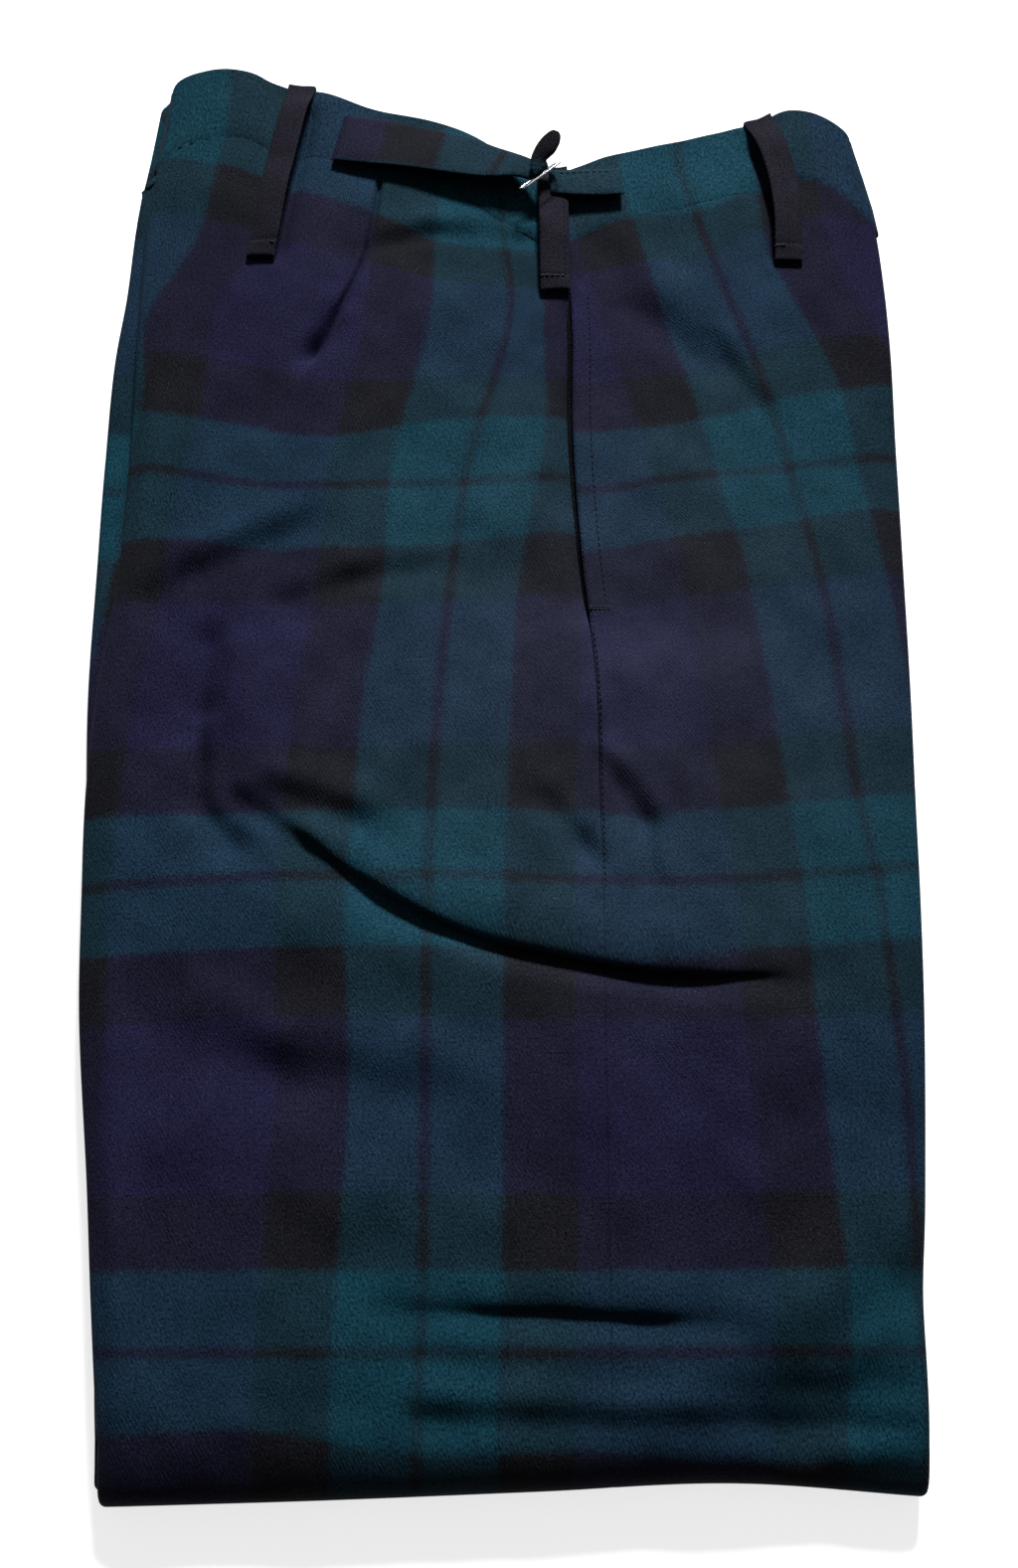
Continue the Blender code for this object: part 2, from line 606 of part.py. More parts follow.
def loft(name, rings, colour, first_cap=None):
    """A closed solid through rings whose points pair up, outer with inner.

    With a cap of its own for the first ring, the last ring closes on itself.
    """
    mesh = bmesh.new()
    count = len(rings[0])
    verts = [[mesh.verts.new(to_metres(point)) for point in points] for points in rings]
    for first, second in zip(verts, verts[1:]):
        for i in range(count):
            for corners in halves(first[i], first[(i + 1) % count], second[(i + 1) % count], second[i]):
                mesh.faces.new(corners)
    caps = [(verts[0], face) for face in first_cap or paired_caps(count)]
    if not first_cap:
        caps += [(verts[-1], face) for face in paired_caps(count)]
    for points, face in caps:
        mesh.faces.new([points[i] for i in face])
    bmesh.ops.remove_doubles(mesh, verts=mesh.verts, dist=MERGE)
    bmesh.ops.recalc_face_normals(mesh, faces=mesh.faces)
    data = bpy.data.meshes.new(name)
    mesh.to_mesh(data)
    mesh.free()
    data.shade_smooth()
    data.set_sharp_from_angle(angle=math.radians(SHARP_ANGLE))
    obj = bpy.data.objects.new(name, data)
    bpy.context.collection.objects.link(obj)
    finish(obj, colour, CLOTH_ROUGHNESS, 0.0)


def right_panels():
    rows = panel_rows()
    loft("right_back_panel", [panel_ring(row, -1) for row in rows], BACK_COLOUR)
    loft("right_front_panel", [panel_ring(row, 1) for row in rows], FRONT_COLOUR)


def folded_layers():
    """The rest of both legs, between the right leg's outer panels."""
    rows = [Upper(SEAM_MIDDLE - UNDER_SEAM), *upper_rows()[1:]]
    hem = partner(Upper(SEAM_MIDDLE))
    pairs = [(rows[1], hem)] + [(row, partner(row)) for row in rows[2:]]
    pairs += [(Turn(angle), Turn(180 - angle)) for angle in TURN_ANGLES]
    rings = [hidden_end(rows[0], hem)] + [hidden_ring(*pair) for pair in pairs]
    loft("folded_layers", rings, HIDDEN_COLOUR, hidden_cap())


def waistband():
    rows = [Band(share) for share in BAND_SHARES]
    loft("waistband_right", [band_ring(row) for row in rows], BAND_COLOUR)
    loft("waistband_left", [under_band_ring(row) for row in rows], BAND_COLOUR)


def belt_loops():
    for loop in named(LOOP_COLUMNS, LOOPS):
        loft(loop["name"], belt_loop(loop), LOOP_COLOUR)


def adjuster():
    """The strap, the tab that holds the buckle, and the buckle's wire frame on its edge."""
    strip("adjuster_strap", STRAP, STRAP_COLOUR)
    strip("adjuster_tab", TAB, STRAP_COLOUR)
    heading = math.radians(BUCKLE_HEADING)
    middle_z = resting_level(*BUCKLE_PLACE) + BUCKLE_RISE
    points = []
    for side, rise, start in ((1, 1, 0), (-1, 1, 90), (-1, -1, 180), (1, -1, 270)):
        for step in (0, 45, 90):
            turn = math.radians(start + step)
            out = side * (BUCKLE_HALF_LENGTH - BUCKLE_CORNER) + BUCKLE_CORNER * math.cos(turn)
            up = rise * (BUCKLE_HALF_HEIGHT - BUCKLE_CORNER) + BUCKLE_CORNER * math.sin(turn)
            points.append(to_metres((BUCKLE_PLACE[0] + out * math.cos(heading),
                                     BUCKLE_PLACE[1] + out * math.sin(heading), middle_z + up)))
    wire = bpy.data.curves.new("adjuster_buckle", "CURVE")
    wire.dimensions = "3D"
    wire.bevel_depth = BUCKLE_WIRE * MM
    wire.bevel_resolution = 2
    spline = wire.splines.new("POLY")
    spline.points.add(len(points) - 1)
    for point, place in zip(spline.points, points):
        point.co = (*place, 1.0)
    spline.use_cyclic_u = True
    spline.use_smooth = True
    obj = bpy.data.objects.new("adjuster_buckle", wire)
    bpy.context.collection.objects.link(obj)
    finish(obj, METAL_COLOUR, METAL_ROUGHNESS, 1.0)


def main():
    for obj in list(bpy.data.objects):
        bpy.data.objects.remove(obj, do_unlink=True)
    right_panels()
    folded_layers()
    waistband()
    belt_loops()
    adjuster()


main()
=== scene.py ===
"""The looks of a pair of tartan trews that lie folded on a pale floor.

Sizes are in millimetres until a mesh is made: x runs from the middle towards the front
crease, y from the knee fold to the waist and z up from the floor.
"""
import math

import bmesh
import bpy
import numpy as np
from bpy.props import FloatProperty, FloatVectorProperty, PointerProperty
from mathutils import Matrix, Vector


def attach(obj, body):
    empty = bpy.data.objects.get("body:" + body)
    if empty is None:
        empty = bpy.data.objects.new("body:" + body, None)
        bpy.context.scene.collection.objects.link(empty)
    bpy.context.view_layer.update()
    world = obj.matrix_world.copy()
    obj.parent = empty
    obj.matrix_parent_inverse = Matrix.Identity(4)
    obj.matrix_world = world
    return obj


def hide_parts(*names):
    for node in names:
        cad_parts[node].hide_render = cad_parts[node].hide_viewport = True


bl_info = {
    "name": "Tartan Trews",
    "version": (1, 0, 0),
    "blender": (4, 5, 0),
    "location": "View3D > Sidebar > Trews",
    "description": "Builds the cloth, trimmings and studio of a folded pair of tartan trews",
    "category": "Object",
}

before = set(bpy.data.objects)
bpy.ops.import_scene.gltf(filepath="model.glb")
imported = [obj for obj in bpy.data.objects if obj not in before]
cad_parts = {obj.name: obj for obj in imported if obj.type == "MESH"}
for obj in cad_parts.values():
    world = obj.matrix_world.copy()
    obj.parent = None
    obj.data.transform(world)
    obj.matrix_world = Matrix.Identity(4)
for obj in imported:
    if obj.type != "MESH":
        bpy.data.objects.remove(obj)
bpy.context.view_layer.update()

MM = 0.001
MIDDLE = (-0.5, 289.9)    # x and y of the middle of the whole part
HEM = 478.0
WALL = 1.8
LEFT_WALL = 1.53          # the left leg's cloth, pressed flat under the right one
SEAM_GAP = 0.3
LOW_SEAM_GAP = 0.06
OPEN_SEAM = (205.0, 60.0)  # where the side seam starts to show as a valley, and over what length
LIE_GAP = 0.6
KNEE_REACH = 17.0         # how far the knee fold bulges past its own centre
KNEE_ARC = 47.5           # length of cloth round it
NOSE_LEAST = 4.4          # heights of a leg's rounded crease
LOW_NOSE = 4.6
LOW_NOSE_RUN = 60.0
SLIT = 0.3
UNDER_SEAM = 1.5
LEVEL_SHARE = 0.45        # the share of the half width that is level, with no rounding
FOLDS_SHARE = 0.86        # the shares of it where folds and steps start to fade
FOLDS_FADE = 0.1
STEPS_SHARE = 0.93
STEPS_FADE = 0.07
SHOULDER_BACK = 3.6       # how much lower the cloth lies at a crease than a little way in
SHOULDER_FRONT = 3.2
SHOULDER_RUN = 9.0
SHOULDER_END = (390.0, 60.0)
DENT = (138.0, 66.0)      # where the front crease is pressed in near the knee
DENT_SIZE = (15.0, 17.0)
DENT_DEPTH = 3.8
SEAM_COLUMNS = (0, 0.35, 0.7, 1.1, 1.6, 2.3, 3.2, 4.4, 5.8, 7.4)   # columns beside the side seam
DART_COLUMNS = (-3.4, -2.2, -1.3, -0.7, -0.25, 0.25, 0.7, 1.3, 2.2, 3.4)
NEXT_COLUMN = 9.4
COLUMN_STEP = 2.5
PANEL_WIDTHS = {-1: 172.0, 1: 118.0}

BAND_HEIGHT = 37.6
BAND_WALL = 3.0
BAND_CLOTH = 1.3
BAND_PROUD = 0.4
BAND_STEP = 6.0
BAND_NOSE = 6.6
BAND_TUCK = 8.0
BAND_OPENING = 1.2
BAND_PEEK = 7.0
BAND_GREEN = 469.5        # the waistband is cut from within one green stripe
BAND_GREEN_STEP = 0.6
BAND_COLUMNS = (74, 56)   # columns of the back and of the front
BAND_ROWS = np.array([0, 0.012, 0.03, 0.06, *np.linspace(0.1, 0.94, 14), 0.975, 1.0])
BAND_FOLD = (30, 60, 90, 120, 150, 180)    # angles of the rows over its top edge
BAND_INNER_ROWS = (0.9, 0.6, 0.3, 0.05)
BAND_MIDDLE = 550.0       # y at which its back end is read
BAND_PLEATS = (0.7, 1.15, 2.2, 9.0)        # rise, radians a millimetre, slant and reach
BAND_WAVES = (0.35, 0.16, 2.0)
UNDER_BAND_ROWS = (0.0, 0.03, 0.15, 0.4, 0.7, 0.9, 0.97, 1.0)
UNDER_BAND_EDGE = 4.2
UNDER_BAND_GAP = 0.55
UNDER_BAND_THIN = 0.5     # how much thinner it is at its two long edges
UNDER_BAND_LOWER = 0.4

LOOP_WIDTH = 12.3
LOOP_GROOVE = 4.2         # depth of the cloth beside a loop's raised edge
LOOP_GROOVE_WIDTH = 3.0
LOOP_GROOVE_TIP = 3.0     # the tip at which the groove has that depth
LOOP_GROOVE_BESIDE = 0.2  # how far from the loop's edge it is deepest
LOOP_GROOVE_FOOT = (4.0, 9.0)    # where it ends past the foot, and over what length it fades
LOOP_GROOVE_HEAD = (4.0, 12.0)
LOOP_WALL = 2.0
LOOP_FOOT = 6.8
LOOP_FOOT_RISE = 0.4
LOOP_FOOT_CREASE = 0.6
LOOP_ARCH = 1.8           # how far the middle of a loop stands off the cloth
LOOP_DENT = 1.4           # how far the waistband's edge is pressed down by a loop
LOOP_TOP = 0.8            # the share of a loop from which it lies close and thin
LOOP_TOP_WALL = 1.5
LOOP_END_SHARES = (0.0, 0.003, 0.008, 0.016)    # rings at its rounded lower end, and their size
LOOP_END_SIZES = (0.25, 0.62, 0.88, 1.0)
LOOP_OVER_EDGE = (        # angle, drop and further length of the rings over the band's edge
    (20, 0.0, 1.0),
    (45, 0.0, 2.0),
    (70, 0.0, 3.0),
    (90, 0.0, 4.0),
    (90, 1.5, 5.5),
    (90, 3.0, 7.0),
)
LOOP_FOOT_RINGS = 10      # rings below the place where the foot stops
LOOP_FACE_COLUMNS = 9     # columns that face up

STRAP_WALL = 2.0
STRAP_END = 0.55          # how thick the strap and the tab are at their ends, as a share
STRIP_STEPS = 7           # rings to each row of their tables
STRAP_WEAVE = (-71.0, 40.0)    # where on the check the strap and the tab are cut
TAB_WEAVE = (116.0, 512.0)
TAB_WEAVE_STEP = 0.6
BUCKLE_PLACE = (17.0, 518.0)
BUCKLE_MIDDLE = (15.9, 512.6, 11.0)
BUCKLE_HEADING = 41.0
BUCKLE_TILT = 52.0        # how far its near wire is tipped up
BUCKLE_HALF_LENGTH = 10.0
BUCKLE_HALF_HEIGHT = 3.2
BUCKLE_WIRE = 0.45
BUCKLE_CORNER = 1.6

STITCH_RADIUS = 0.28
STITCH_SIDES = 6
STITCH_SHAPE = (          # place along a stitch, size of its ring there and how much lower it lies
    (-0.5, 0.35, 0.12),
    (-0.36, 0.9, 0.0),
    (0.0, 1.0, 0.0),
    (0.36, 0.9, 0.0),
    (0.5, 0.35, 0.12),
)
POCKET_STITCHES = (7.4, 0.02)    # distance in front of the side seam's line, and lift
SEAM_STITCHES = (0.9, -0.08)
TACK_X = (33.6, 42.2)
TACK_Y = 318.4
TACK_ROWS = 0.9           # from one row of the tack to the next

SECTION_COLUMNS = ("y", "back", "seam", "front", "crown", "edge", "peek", "low_back", "low_front")
SECTIONS = (
    (17, -133, 37, 142, 26.0, 25.5, 2.0, -133, 142),
    (65, -139, 37, 144, 27.0, 25.0, 0.0, -136, 141),
    (98, -143, 37, 147, 27.6, 23.5, -1.0, -135, 139),
    (168, -152, 37, 152.5, 28.2, 21.0, -1.0, -131, 134),
    (206, -154.5, 37, 154.5, 28.4, 19.5, -1.0, -129, 131),
    (245, -156.6, 36.6, 156.0, 28.3, 18.0, 0.5, -126, 128),
    (286, -156.2, 36, 157.7, 28.0, 16.5, 4.0, -122, 124),
    (346, -151.5, 30.4, 159.3, 27.6, 15.0, 10.0, -117, 120),
    (396, -151.0, 28.0, 160.3, 27.0, 14.5, 11.0, -112, 116),
    (443, -151.2, 28.4, 160.8, 26.2, 14.2, 9.5, -107, 113),
    (472, -151.2, 27.5, 160.4, 25.4, 14.0, 7.0, -104, 111),
    (512, -150.5, 23, 157.5, 23.0, 13.8, 6.0, -100, 108),
    (549, -146.0, 23, 150.0, 18.8, 13.4, 7.0, -97, 106),
    (581, -143.0, 23, 147.0, 15.6, 13.0, 7.0, -95, 104),
)
KNEE_EDGE = ((-134, -2.4), (-62, -0.4), (12, 2.4), (78, 5.0), (142, 0.8))
WAIST_TOP = ((-154, 564), (-141, 581), (-131, 585.5), (-117, 586.5), (-109, 584), (-101, 578.5),
             (-94, 575.5), (-84, 573.5), (-58, 562), (-18, 549.5), (5, 533), (23, 525), (44, 534),
             (83, 544.5), (110, 556), (126, 564), (143, 558.5), (162, 536))
SEAM_MIDDLE = 500.0
SEAM_BEND = 330.0
KNEE_FADE = 40.0
SEAM_ROWS = (500, 499.4, 498.8, 498, 497, 495.5)   # rows close to the waist seam
ROW_COLUMNS = ("start", "end", "step", "with_end")
UPPER_ROWS = (
    (493.5, 208, 2.5, True),
    (206, 150, 1.1, False),
    (150, 80, 2.5, False),
    (80, 44, 1.5, False),
    (44, KNEE_REACH, 2.2, True),
)
TURN_ROWS = 16            # rows round the knee fold
LOWER_ROWS = ((KNEE_REACH, 110, 5.0), (118, HEM - 6, 9.0))    # start, end and step
HEM_ROWS = (HEM - 3, HEM - 1, HEM)
LEFT_ROWS_APART = 2.0     # how much further apart the left leg's rows are
INNER_GAP = 1.0           # between the two panels inside the fold

BIG_FOLD = ((-110, 253), (-90, 241), (-75, 230), (-57, 215.8), (-37, 204), (-8, 191.5), (20, 184.8),
            (48, 179.5), (77, 176.5), (110, 176.5))
BIG_FOLD_MIDDLE = 178.0
BIG_FOLD_REACH = 24.0
BIG_FOLD_FADE = 130.0
LOW_FOLD = ((-54, 62.5), (-44, 62.3), (-10, 61.2), (20, 60.4), (48, 58.6), (80, 58.2))
LOW_FOLD_MIDDLE = 61.0
LOW_FOLD_REACH = 10.0
LOW_FOLD_FADE = 28.0
LIP_SHIFT = 0.7
TROUGH_SHIFT = 0.8
UNDERLAY_SPREAD = 2.2     # how much wider a fold is in the layers below
EDGE_FOLD_COLUMNS = ("line", "start", "full", "fade", "end", "lip", "lip_width", "trough", "trough_width",
                     "overhang", "tuck")
EDGE_FOLDS = (
    (BIG_FOLD, -100, 2, 52, 122, 3.4, 13.0, 6.2, 5.5, 5.2, 3.2),
    (LOW_FOLD, -58, 6, 40, 96, 1.7, 9.0, 2.7, 5.0, 1.4, 1.0),
)
OVERHANG_WIDTH = 4.8
TUCK_WIDTH = 3.5
KNEE_DROP = 4.0           # how much lower the cloth lies at the knee fold than before it
KNEE_SLOPE = (32.0, 30.0)
KNEE_LOOKUP = (52.0, 581.0)
PHOTO_PLANE = 26.0        # height at which the check's lines were laid out, under a camera at EYE
EYE = (3.0, 17.5, 655.2)
PHOTO_FADE = 60.0
KEY_PLACE = (0.36, 2.28, 1.66)   # metres, like the light's size and the floor's
KEY_AIM = (-0.03, -0.03, 0.0)
KEY_SIZE = 0.5
KEY_SPREAD = 26.0
AIR_UPWARD = (0.9, 0.1)   # light of the air: slope and value at the horizon, up and towards the waist
AIR_TOWARD = (0.5, 0.5)
AIR_LEAST = 0.05
FLOOR_SIZE = 8.0
PALE = (0.82, 0.82, 0.82)        # the studio's backdrop
SOFT_FOLD_COLUMNS = ("name", "x0", "y0", "x1", "y1", "width", "rise")
SOFT_FOLDS = (
    ("hip", -56, 487, -2, 494, 15, -1.6),
    ("front_hip", 48, 478, 76, 432, 14, -0.9),
    ("front_thigh", 80, 430, 102, 404, 12, -0.7),
    ("back_thigh", -138, 319, -96, 342, 13, -1.8),
    ("middle", -76, 320, 6, 340, 12, -1.4),
    ("seat_drop", -111, 306, -113, 284, 9, -3.2),
    ("seat_drop_low", -113, 276, -112, 246, 6.5, -3.2),
    ("seat_drop_foot", -110, 238, -98, 222, 8, -2.2),
    ("seat_drop_inner", -58, 322, -61, 262, 8, -0.7),
    ("seat_hollow", -86, 244, -58, 228, 12, -2.4),
    ("seam_back", 24, 240, 32, 226, 8, -2.0),
    ("seam_low", 30, 222, 36, 214, 6, -1.4),
    ("seam_front", 47, 244, 55, 232, 8, -1.8),
    ("seam_front_low", 54, 230, 54, 210, 4.5, -1.2),
    ("knee_back", -134, 168, -30, 138, 16, -1.8),
    ("knee_mark", -80, 81, -46, 81, 10, -1.0),
    ("knee_front", 118, 62, 142, 94, 12, -1.6),
    ("knee_band", -2, 34, 114, 25, 9, -1.2),
)
FINE_FOLDS = (
    ("hip_crease", -50, 488, -6, 495, 4, -0.9),
    ("hip_ridge", -52, 497, -4, 503, 5, 0.6),
    ("dart_end", -76, 434, -90, 404, 7, -1.4),
    ("dart_swell", -48, 470, -62, 430, 9, 0.8),
    ("front_pinch", 92, 428, 106, 406, 3.5, -1.2),
    ("front_swell", 62, 440, 84, 400, 9, 0.7),
    ("back_thigh_ridge", -140, 342, -104, 366, 8, 0.8),
    ("seat_swell", -100, 300, -88, 250, 9, 0.9),
    ("seat_pinch", -104, 268, -98, 236, 5, -1.0),
    ("middle_pinch", -40, 342, -12, 352, 5, -0.8),
    ("below_pocket", 38, 300, 46, 262, 5, -0.9),
    ("seam_swell", 30, 228, 40, 214, 7, 0.7),
    ("knee_swell", -120, 120, -40, 104, 12, 0.7),
    ("knee_pull", 60, 110, 130, 130, 10, -0.6),
    ("knee_pinch", -30, 44, 30, 40, 4, -0.5),
    ("knee_line", -100, 30, 20, 26, 5, -0.7),
    ("knee_corner", 124, 40, 142, 60, 5, -0.8),
)
STEP_COLUMNS = ("name", "x0", "y0", "x1", "y1", "width", "slope")
STEPS = (
    ("back_thigh_low", -138, 333, -118, 341, 8, 0.24),
    ("back_thigh_high", -118, 343, -80, 357, 8, 0.42),
    ("middle_left", -82, 325, -56, 334, 6, 0.24),
    ("middle_right", -56, 334, -30, 339, 6.5, 0.42),
    ("seat_side", -109, 240, -112, 270, 5, -0.55),
    ("seat_side_high", -112, 270, -108, 304, 8, -0.45),
    ("seat_foot", -108, 240, -96, 228, 6, 0.30),
    ("seat_shelf", -84, 246, -52, 236, 8, 0.50),
    ("seat_inner", -58, 262, -54, 318, 7, -0.10),
    ("fold_start", -96, 243, -70, 225, 6, 0.50),
    ("fold_left", -72, 223, -28, 195, 9, 0.40),
    ("seam_arc", 18, 242, 34, 222, 6, 0.48),
    ("pocket_arc", 40, 256, 55, 236, 5.5, 0.52),
    ("pocket_arc_low", 55, 234, 57, 212, 4.5, 0.60),
    ("front_hip_high", 46, 488, 62, 458, 11, 0.26),
    ("front_hip_low", 60, 456, 86, 436, 11, 0.32),
    ("front_pleat", 88, 441, 104, 416, 4, 0.55),
    ("hip_left", -52, 488, -31, 495, 6, 0.34),
    ("hip_right", -31, 495, 14, 491, 5.5, 0.32),
    ("dart_low", -78, 428, -68, 450, 5, -0.65),
    ("dart_high", -68, 450, -61, 482, 5, -0.45),
    ("back_knee", -108, 158, -78, 146, 13, 0.30),
    ("back_knee_low", -78, 146, -26, 137, 13, 0.32),
    ("front_knee", 108, 56, 146, 75, 16, 0.46),
    ("front_knee_low", 76, 33, 112, 36, 10, 0.28),
    ("corner_band", 112, 12, 144, 13, 8, 0.50),
    ("knee_trough", -24, 27.5, 138, 24.0, 6.5, 0.50),
    ("corner_face", 102, 38, 146, 42, 20, 0.46),
    ("thigh_face", 12, 302, 84, 302, 27, -0.16),
    ("hem_face", -84, 186, -20, 168, 18, 0.10),
    ("knee_face", -80, 100, 0, 96, 18, -0.10),
    ("left_edge_low", -134, 60, -141, 150, 7, -0.25),
    ("left_edge_high", -141, 150, -150, 270, 7, -0.25),
)
RIPPLE_COLUMNS = ("rise", "length", "heading", "phase")
RIPPLES = (
    (0.34, 61.0, 20.0, 0.4),
    (0.28, 43.0, 75.0, 1.9),
    (0.20, 29.0, 130.0, 4.1),
    (0.12, 17.0, 50.0, 2.6),
)
POCKET = (315, 462)
POCKET_RISE = 1.1
POCKET_FADE = 16.0
POCKET_TURN = 16.0
POCKET_GAPE = ((315, 0.6), (345, 0.9), (385, 1.4), (462, 1.6))   # y and width of the open mouth
POCKET_FRONT_DIP = (1.1, 0.8)    # depth and width of the dip at the mouth's front and back edge
POCKET_BACK_DIP = (2.6, 3.8)
SEAM_DIP = (0.05, 0.45, 1.2)     # depth near the knee, more depth above it, and width
WAIST_DIP = (0.12, 1.4)
# A near-black sheet in the open pocket mouth: painted shade for the shadow in the slit.
SHADE_SHEET_PLACES = (0.0, 0.4, 0.8, 1.2, 1.6, 2.2, 3.4, 5.0, 6.6, 8.2)
SHADE_SHEET_DEPTH = 2.05
SHADE_SHEET_WALL = 0.4

DART = ((434, -76), (444, -70.6), (458, -65), (473, -59.3), (492, -54.9), (522, -51.5))
DART_TAKE = 20.0          # width of cloth that the dart takes at the waist
DART_DEPTH = 3.0
DART_WIDTH = 1.2
DART_END = 438.0          # y, length, more width and more depth of the hollow at its end
DART_END_LENGTH = 18.0
DART_END_WIDTH = 2.8
DART_END_DEPTH = 4.2
DART_FADES = (10.0, 12.0, 6.0)   # how far past its end it starts, over what length, and at the waist
DART_SHARE = 0.52         # where its columns lie between seam and crease
DART_COLUMNS_HALF = 5.0
DART_LOOKUP = -60.0       # x at which the rows' places along the dart are read
DART_BELOW = 0.59         # the share of the panel where the dart's columns go on below it
DART_EDGE = 0.15

LOOP_COLUMNS = ("name", "x_foot", "y_foot", "x_top", "bow", "tip")
LOOPS = (
    ("belt_loop_back", -100.3, 480.7, -87.2, -0.5, 3.0),
    ("belt_loop_side", 22.0, 461, 21.5, 0.0, -1.2),
    ("belt_loop_front", 119.7, 480.5, 110.5, 4.2, -2.0),
)
STRIP_COLUMNS = ("x", "y", "rise", "width", "heading", "pitch", "roll", "follows")
STRAP = (
    (-70.0, 542.2, 1.9, 27.0, -10, 0, -4, 1.0),
    (-46.0, 537.4, 2.8, 27.5, -10, 2, -8, 1.0),
    (-22.0, 531.4, 4.4, 26.0, -11, 4, -11, 1.0),
    (-4.0, 524.2, 6.2, 20.0, -18, 5, -12, 1.0),
    (8.0, 519.4, 8.2, 12.5, -28, 3, -10, 0.6),
    (14.6, 516.2, 8.4, 9.4, -40, 0, 0, 0.0),
    (15.8, 515.2, 9.1, 9.2, -40, 45, 0, 0.0),
    (16.2, 514.9, 10.3, 9.0, -40, 90, 0, 0.0),
    (16.0, 515.4, 11.5, 8.6, -40, 135, 0, 0.0),
    (15.6, 516.6, 12.2, 8.4, -46, 178, 0, 0.0),
    (16.0, 519.4, 12.9, 8.6, -76, 170, -4, 0.0),
    (18.0, 523.0, 14.2, 9.0, -104, 163, -8, 0.0),
    (20.2, 526.6, 15.2, 8.4, -112, 166, -10, 0.0),
    (22.0, 529.6, 15.9, 5.6, -116, 168, -10, 0.0),
    (22.7, 530.8, 16.1, 2.6, -118, 168, -10, 0.0),
)
TAB = (
    (20.0, 513.6, 5.6, 12.0, 4, -6, -3, 0.6),
    (27.0, 514.2, 4.6, 15.0, 4, -6, -8, 1.0),
    (34.0, 514.9, 3.8, 16.5, 4, -3, -10, 1.0),
    (42.0, 515.7, 3.2, 17.0, 4, -2, -10, 1.0),
    (50.5, 516.5, 2.9, 17.0, 4, 0, -10, 1.0),
)

# Where lines of the check lie on each panel. A mark is a distance across the cloth from the
# back panel's green line, or up the cloth from the green line at the knee.
BACK_WARP = (
    (-138, ((21, -168), (132, -165), (242, -166), (323, -157), (375, -151), (414, -144), (456, -146),
            (477, -141), (500, -141), (513, -142), (553, -137), (572, -138))),
    (-27, ((21, -57), (46, -57), (132, -54), (209, -57), (242, -55), (282, -53), (323, -47), (375, -45),
           (458, -30), (487, -29), (512, -27), (570, -24))),
    (0, ((21, -28), (46, -27), (132, -27), (209, -27), (282, -24), (340, -19), (375, -15),
         (463, 4), (492, 0), (560, 0))),
    (27, ((21, -1), (46, 0), (132, 1), (209, 1), (282, 4), (323, 6), (375, 14), (393, 17), (458, 17),
          (492, 21), (560, 22))),
)
FRONT_WARP = (
    (138, ((21, 114), (65, 116), (98, 114), (173, 110), (209, 109), (242, 105), (298, 98), (340, 93),
           (375, 84), (402, 78), (458, 63), (487, 56), (519, 48.6))),
    (165, ((98, 141), (132, 141), (167, 139), (209, 136), (242, 131), (282, 128), (323, 124), (375, 114),
           (420, 104), (463, 91), (512, 77), (525, 73.5))),
    (192, ((98, 168), (209, 163), (323, 150), (385, 140), (420, 135), (444, 125.5), (481, 111),
           (532, 105.7))),
)
BACK_WEFT = (
    (-26, ((-145, 19), (-62, 19), (-50, 16.5), (35, 15))),
    (0, ((-145, 45), (35, 45))),
    (165, ((-145, 206), (-109, 209), (-27, 210), (35, 208))),
    (303, ((-148, 347), (-40, 343), (16, 349))),
    (330, ((-139, 379), (-99, 372), (-41, 371), (18, 374))),
    (357, ((-149, 406), (-109, 400), (-69, 393), (-29, 400), (16, 402))),
    (468, ((-134, 527), (-107, 520), (-99, 516), (-69, 506), (-23, 486), (20, 480))),
)
FRONT_WEFT = (
    (-26, ((35, 15), (70, 12), (154, 12))),
    (0, ((35, 45), (154, 46))),
    (165, ((35, 208), (71, 208), (107, 211), (136, 213), (154, 215))),
    (303, ((33, 340), (91, 351), (146, 360))),
    (330, ((37, 368), (73, 374), (116, 379), (156, 384))),
    (357, ((34, 394), (77, 400), (114, 411), (154, 418))),
    (468, ((30, 490), (56, 499), (81, 499), (124, 523), (153, 516))),
)

SETT_THREADS = 208        # threads in the whole repeat, from one green line to the one after next
SETT = (("line", 1), ("green", 16), ("black", 16), ("blue", 2), ("faint", 2), ("blue", 2), ("faint", 2),
        ("blue", 22), ("faint", 2), ("blue", 2), ("faint", 2), ("blue", 2), ("black", 16), ("green", 16),
        ("line", 2), ("green", 16), ("black", 16), ("blue", 16), ("faint", 2), ("blue", 2), ("faint", 2),
        ("blue", 16), ("black", 16), ("green", 16), ("line", 1))
# A painted sheen: a grey veil over the cloth, brightest at its middle and gone past its reach.
PAINTED_SHEEN_MIDDLE = (0.082, 0.247)  # where the painted sheen is brightest, in metres of the weave
PAINTED_SHEEN_REACH = 0.17
PAINTED_SHEEN_STRENGTH = 0.34
NAP_SHADE = (4.2, -1.1)   # how nap and mottling darken the threads: a factor and what is added
NAP_DARKEST = 0.1
MOTTLE_SHADE = (1.1, 0.45)
WOOL_NOISES = {           # scale, detail and roughness
    "wander": (700.0, 3.0, 0.5),
    "worn": (210.0, 3.0, 0.6),
    "nap": (1000.0, 4.0, 0.7),
    "mottle": (42.0, 5.0, 0.68),
    "fibres": (1500.0, 1.0, 0.5),
}
CODES = {"green": (1, 0, 0, 1), "blue": (0, 1, 0, 1), "black": (0, 0, 1, 1),
         "line": (0.12, 0, 0.88, 1), "faint": (0, 0.8, 0.2, 1)}


def named(columns, rows):
    """The rows of a table as dictionaries, one key for each column."""
    return [dict(zip(columns, row)) for row in rows]


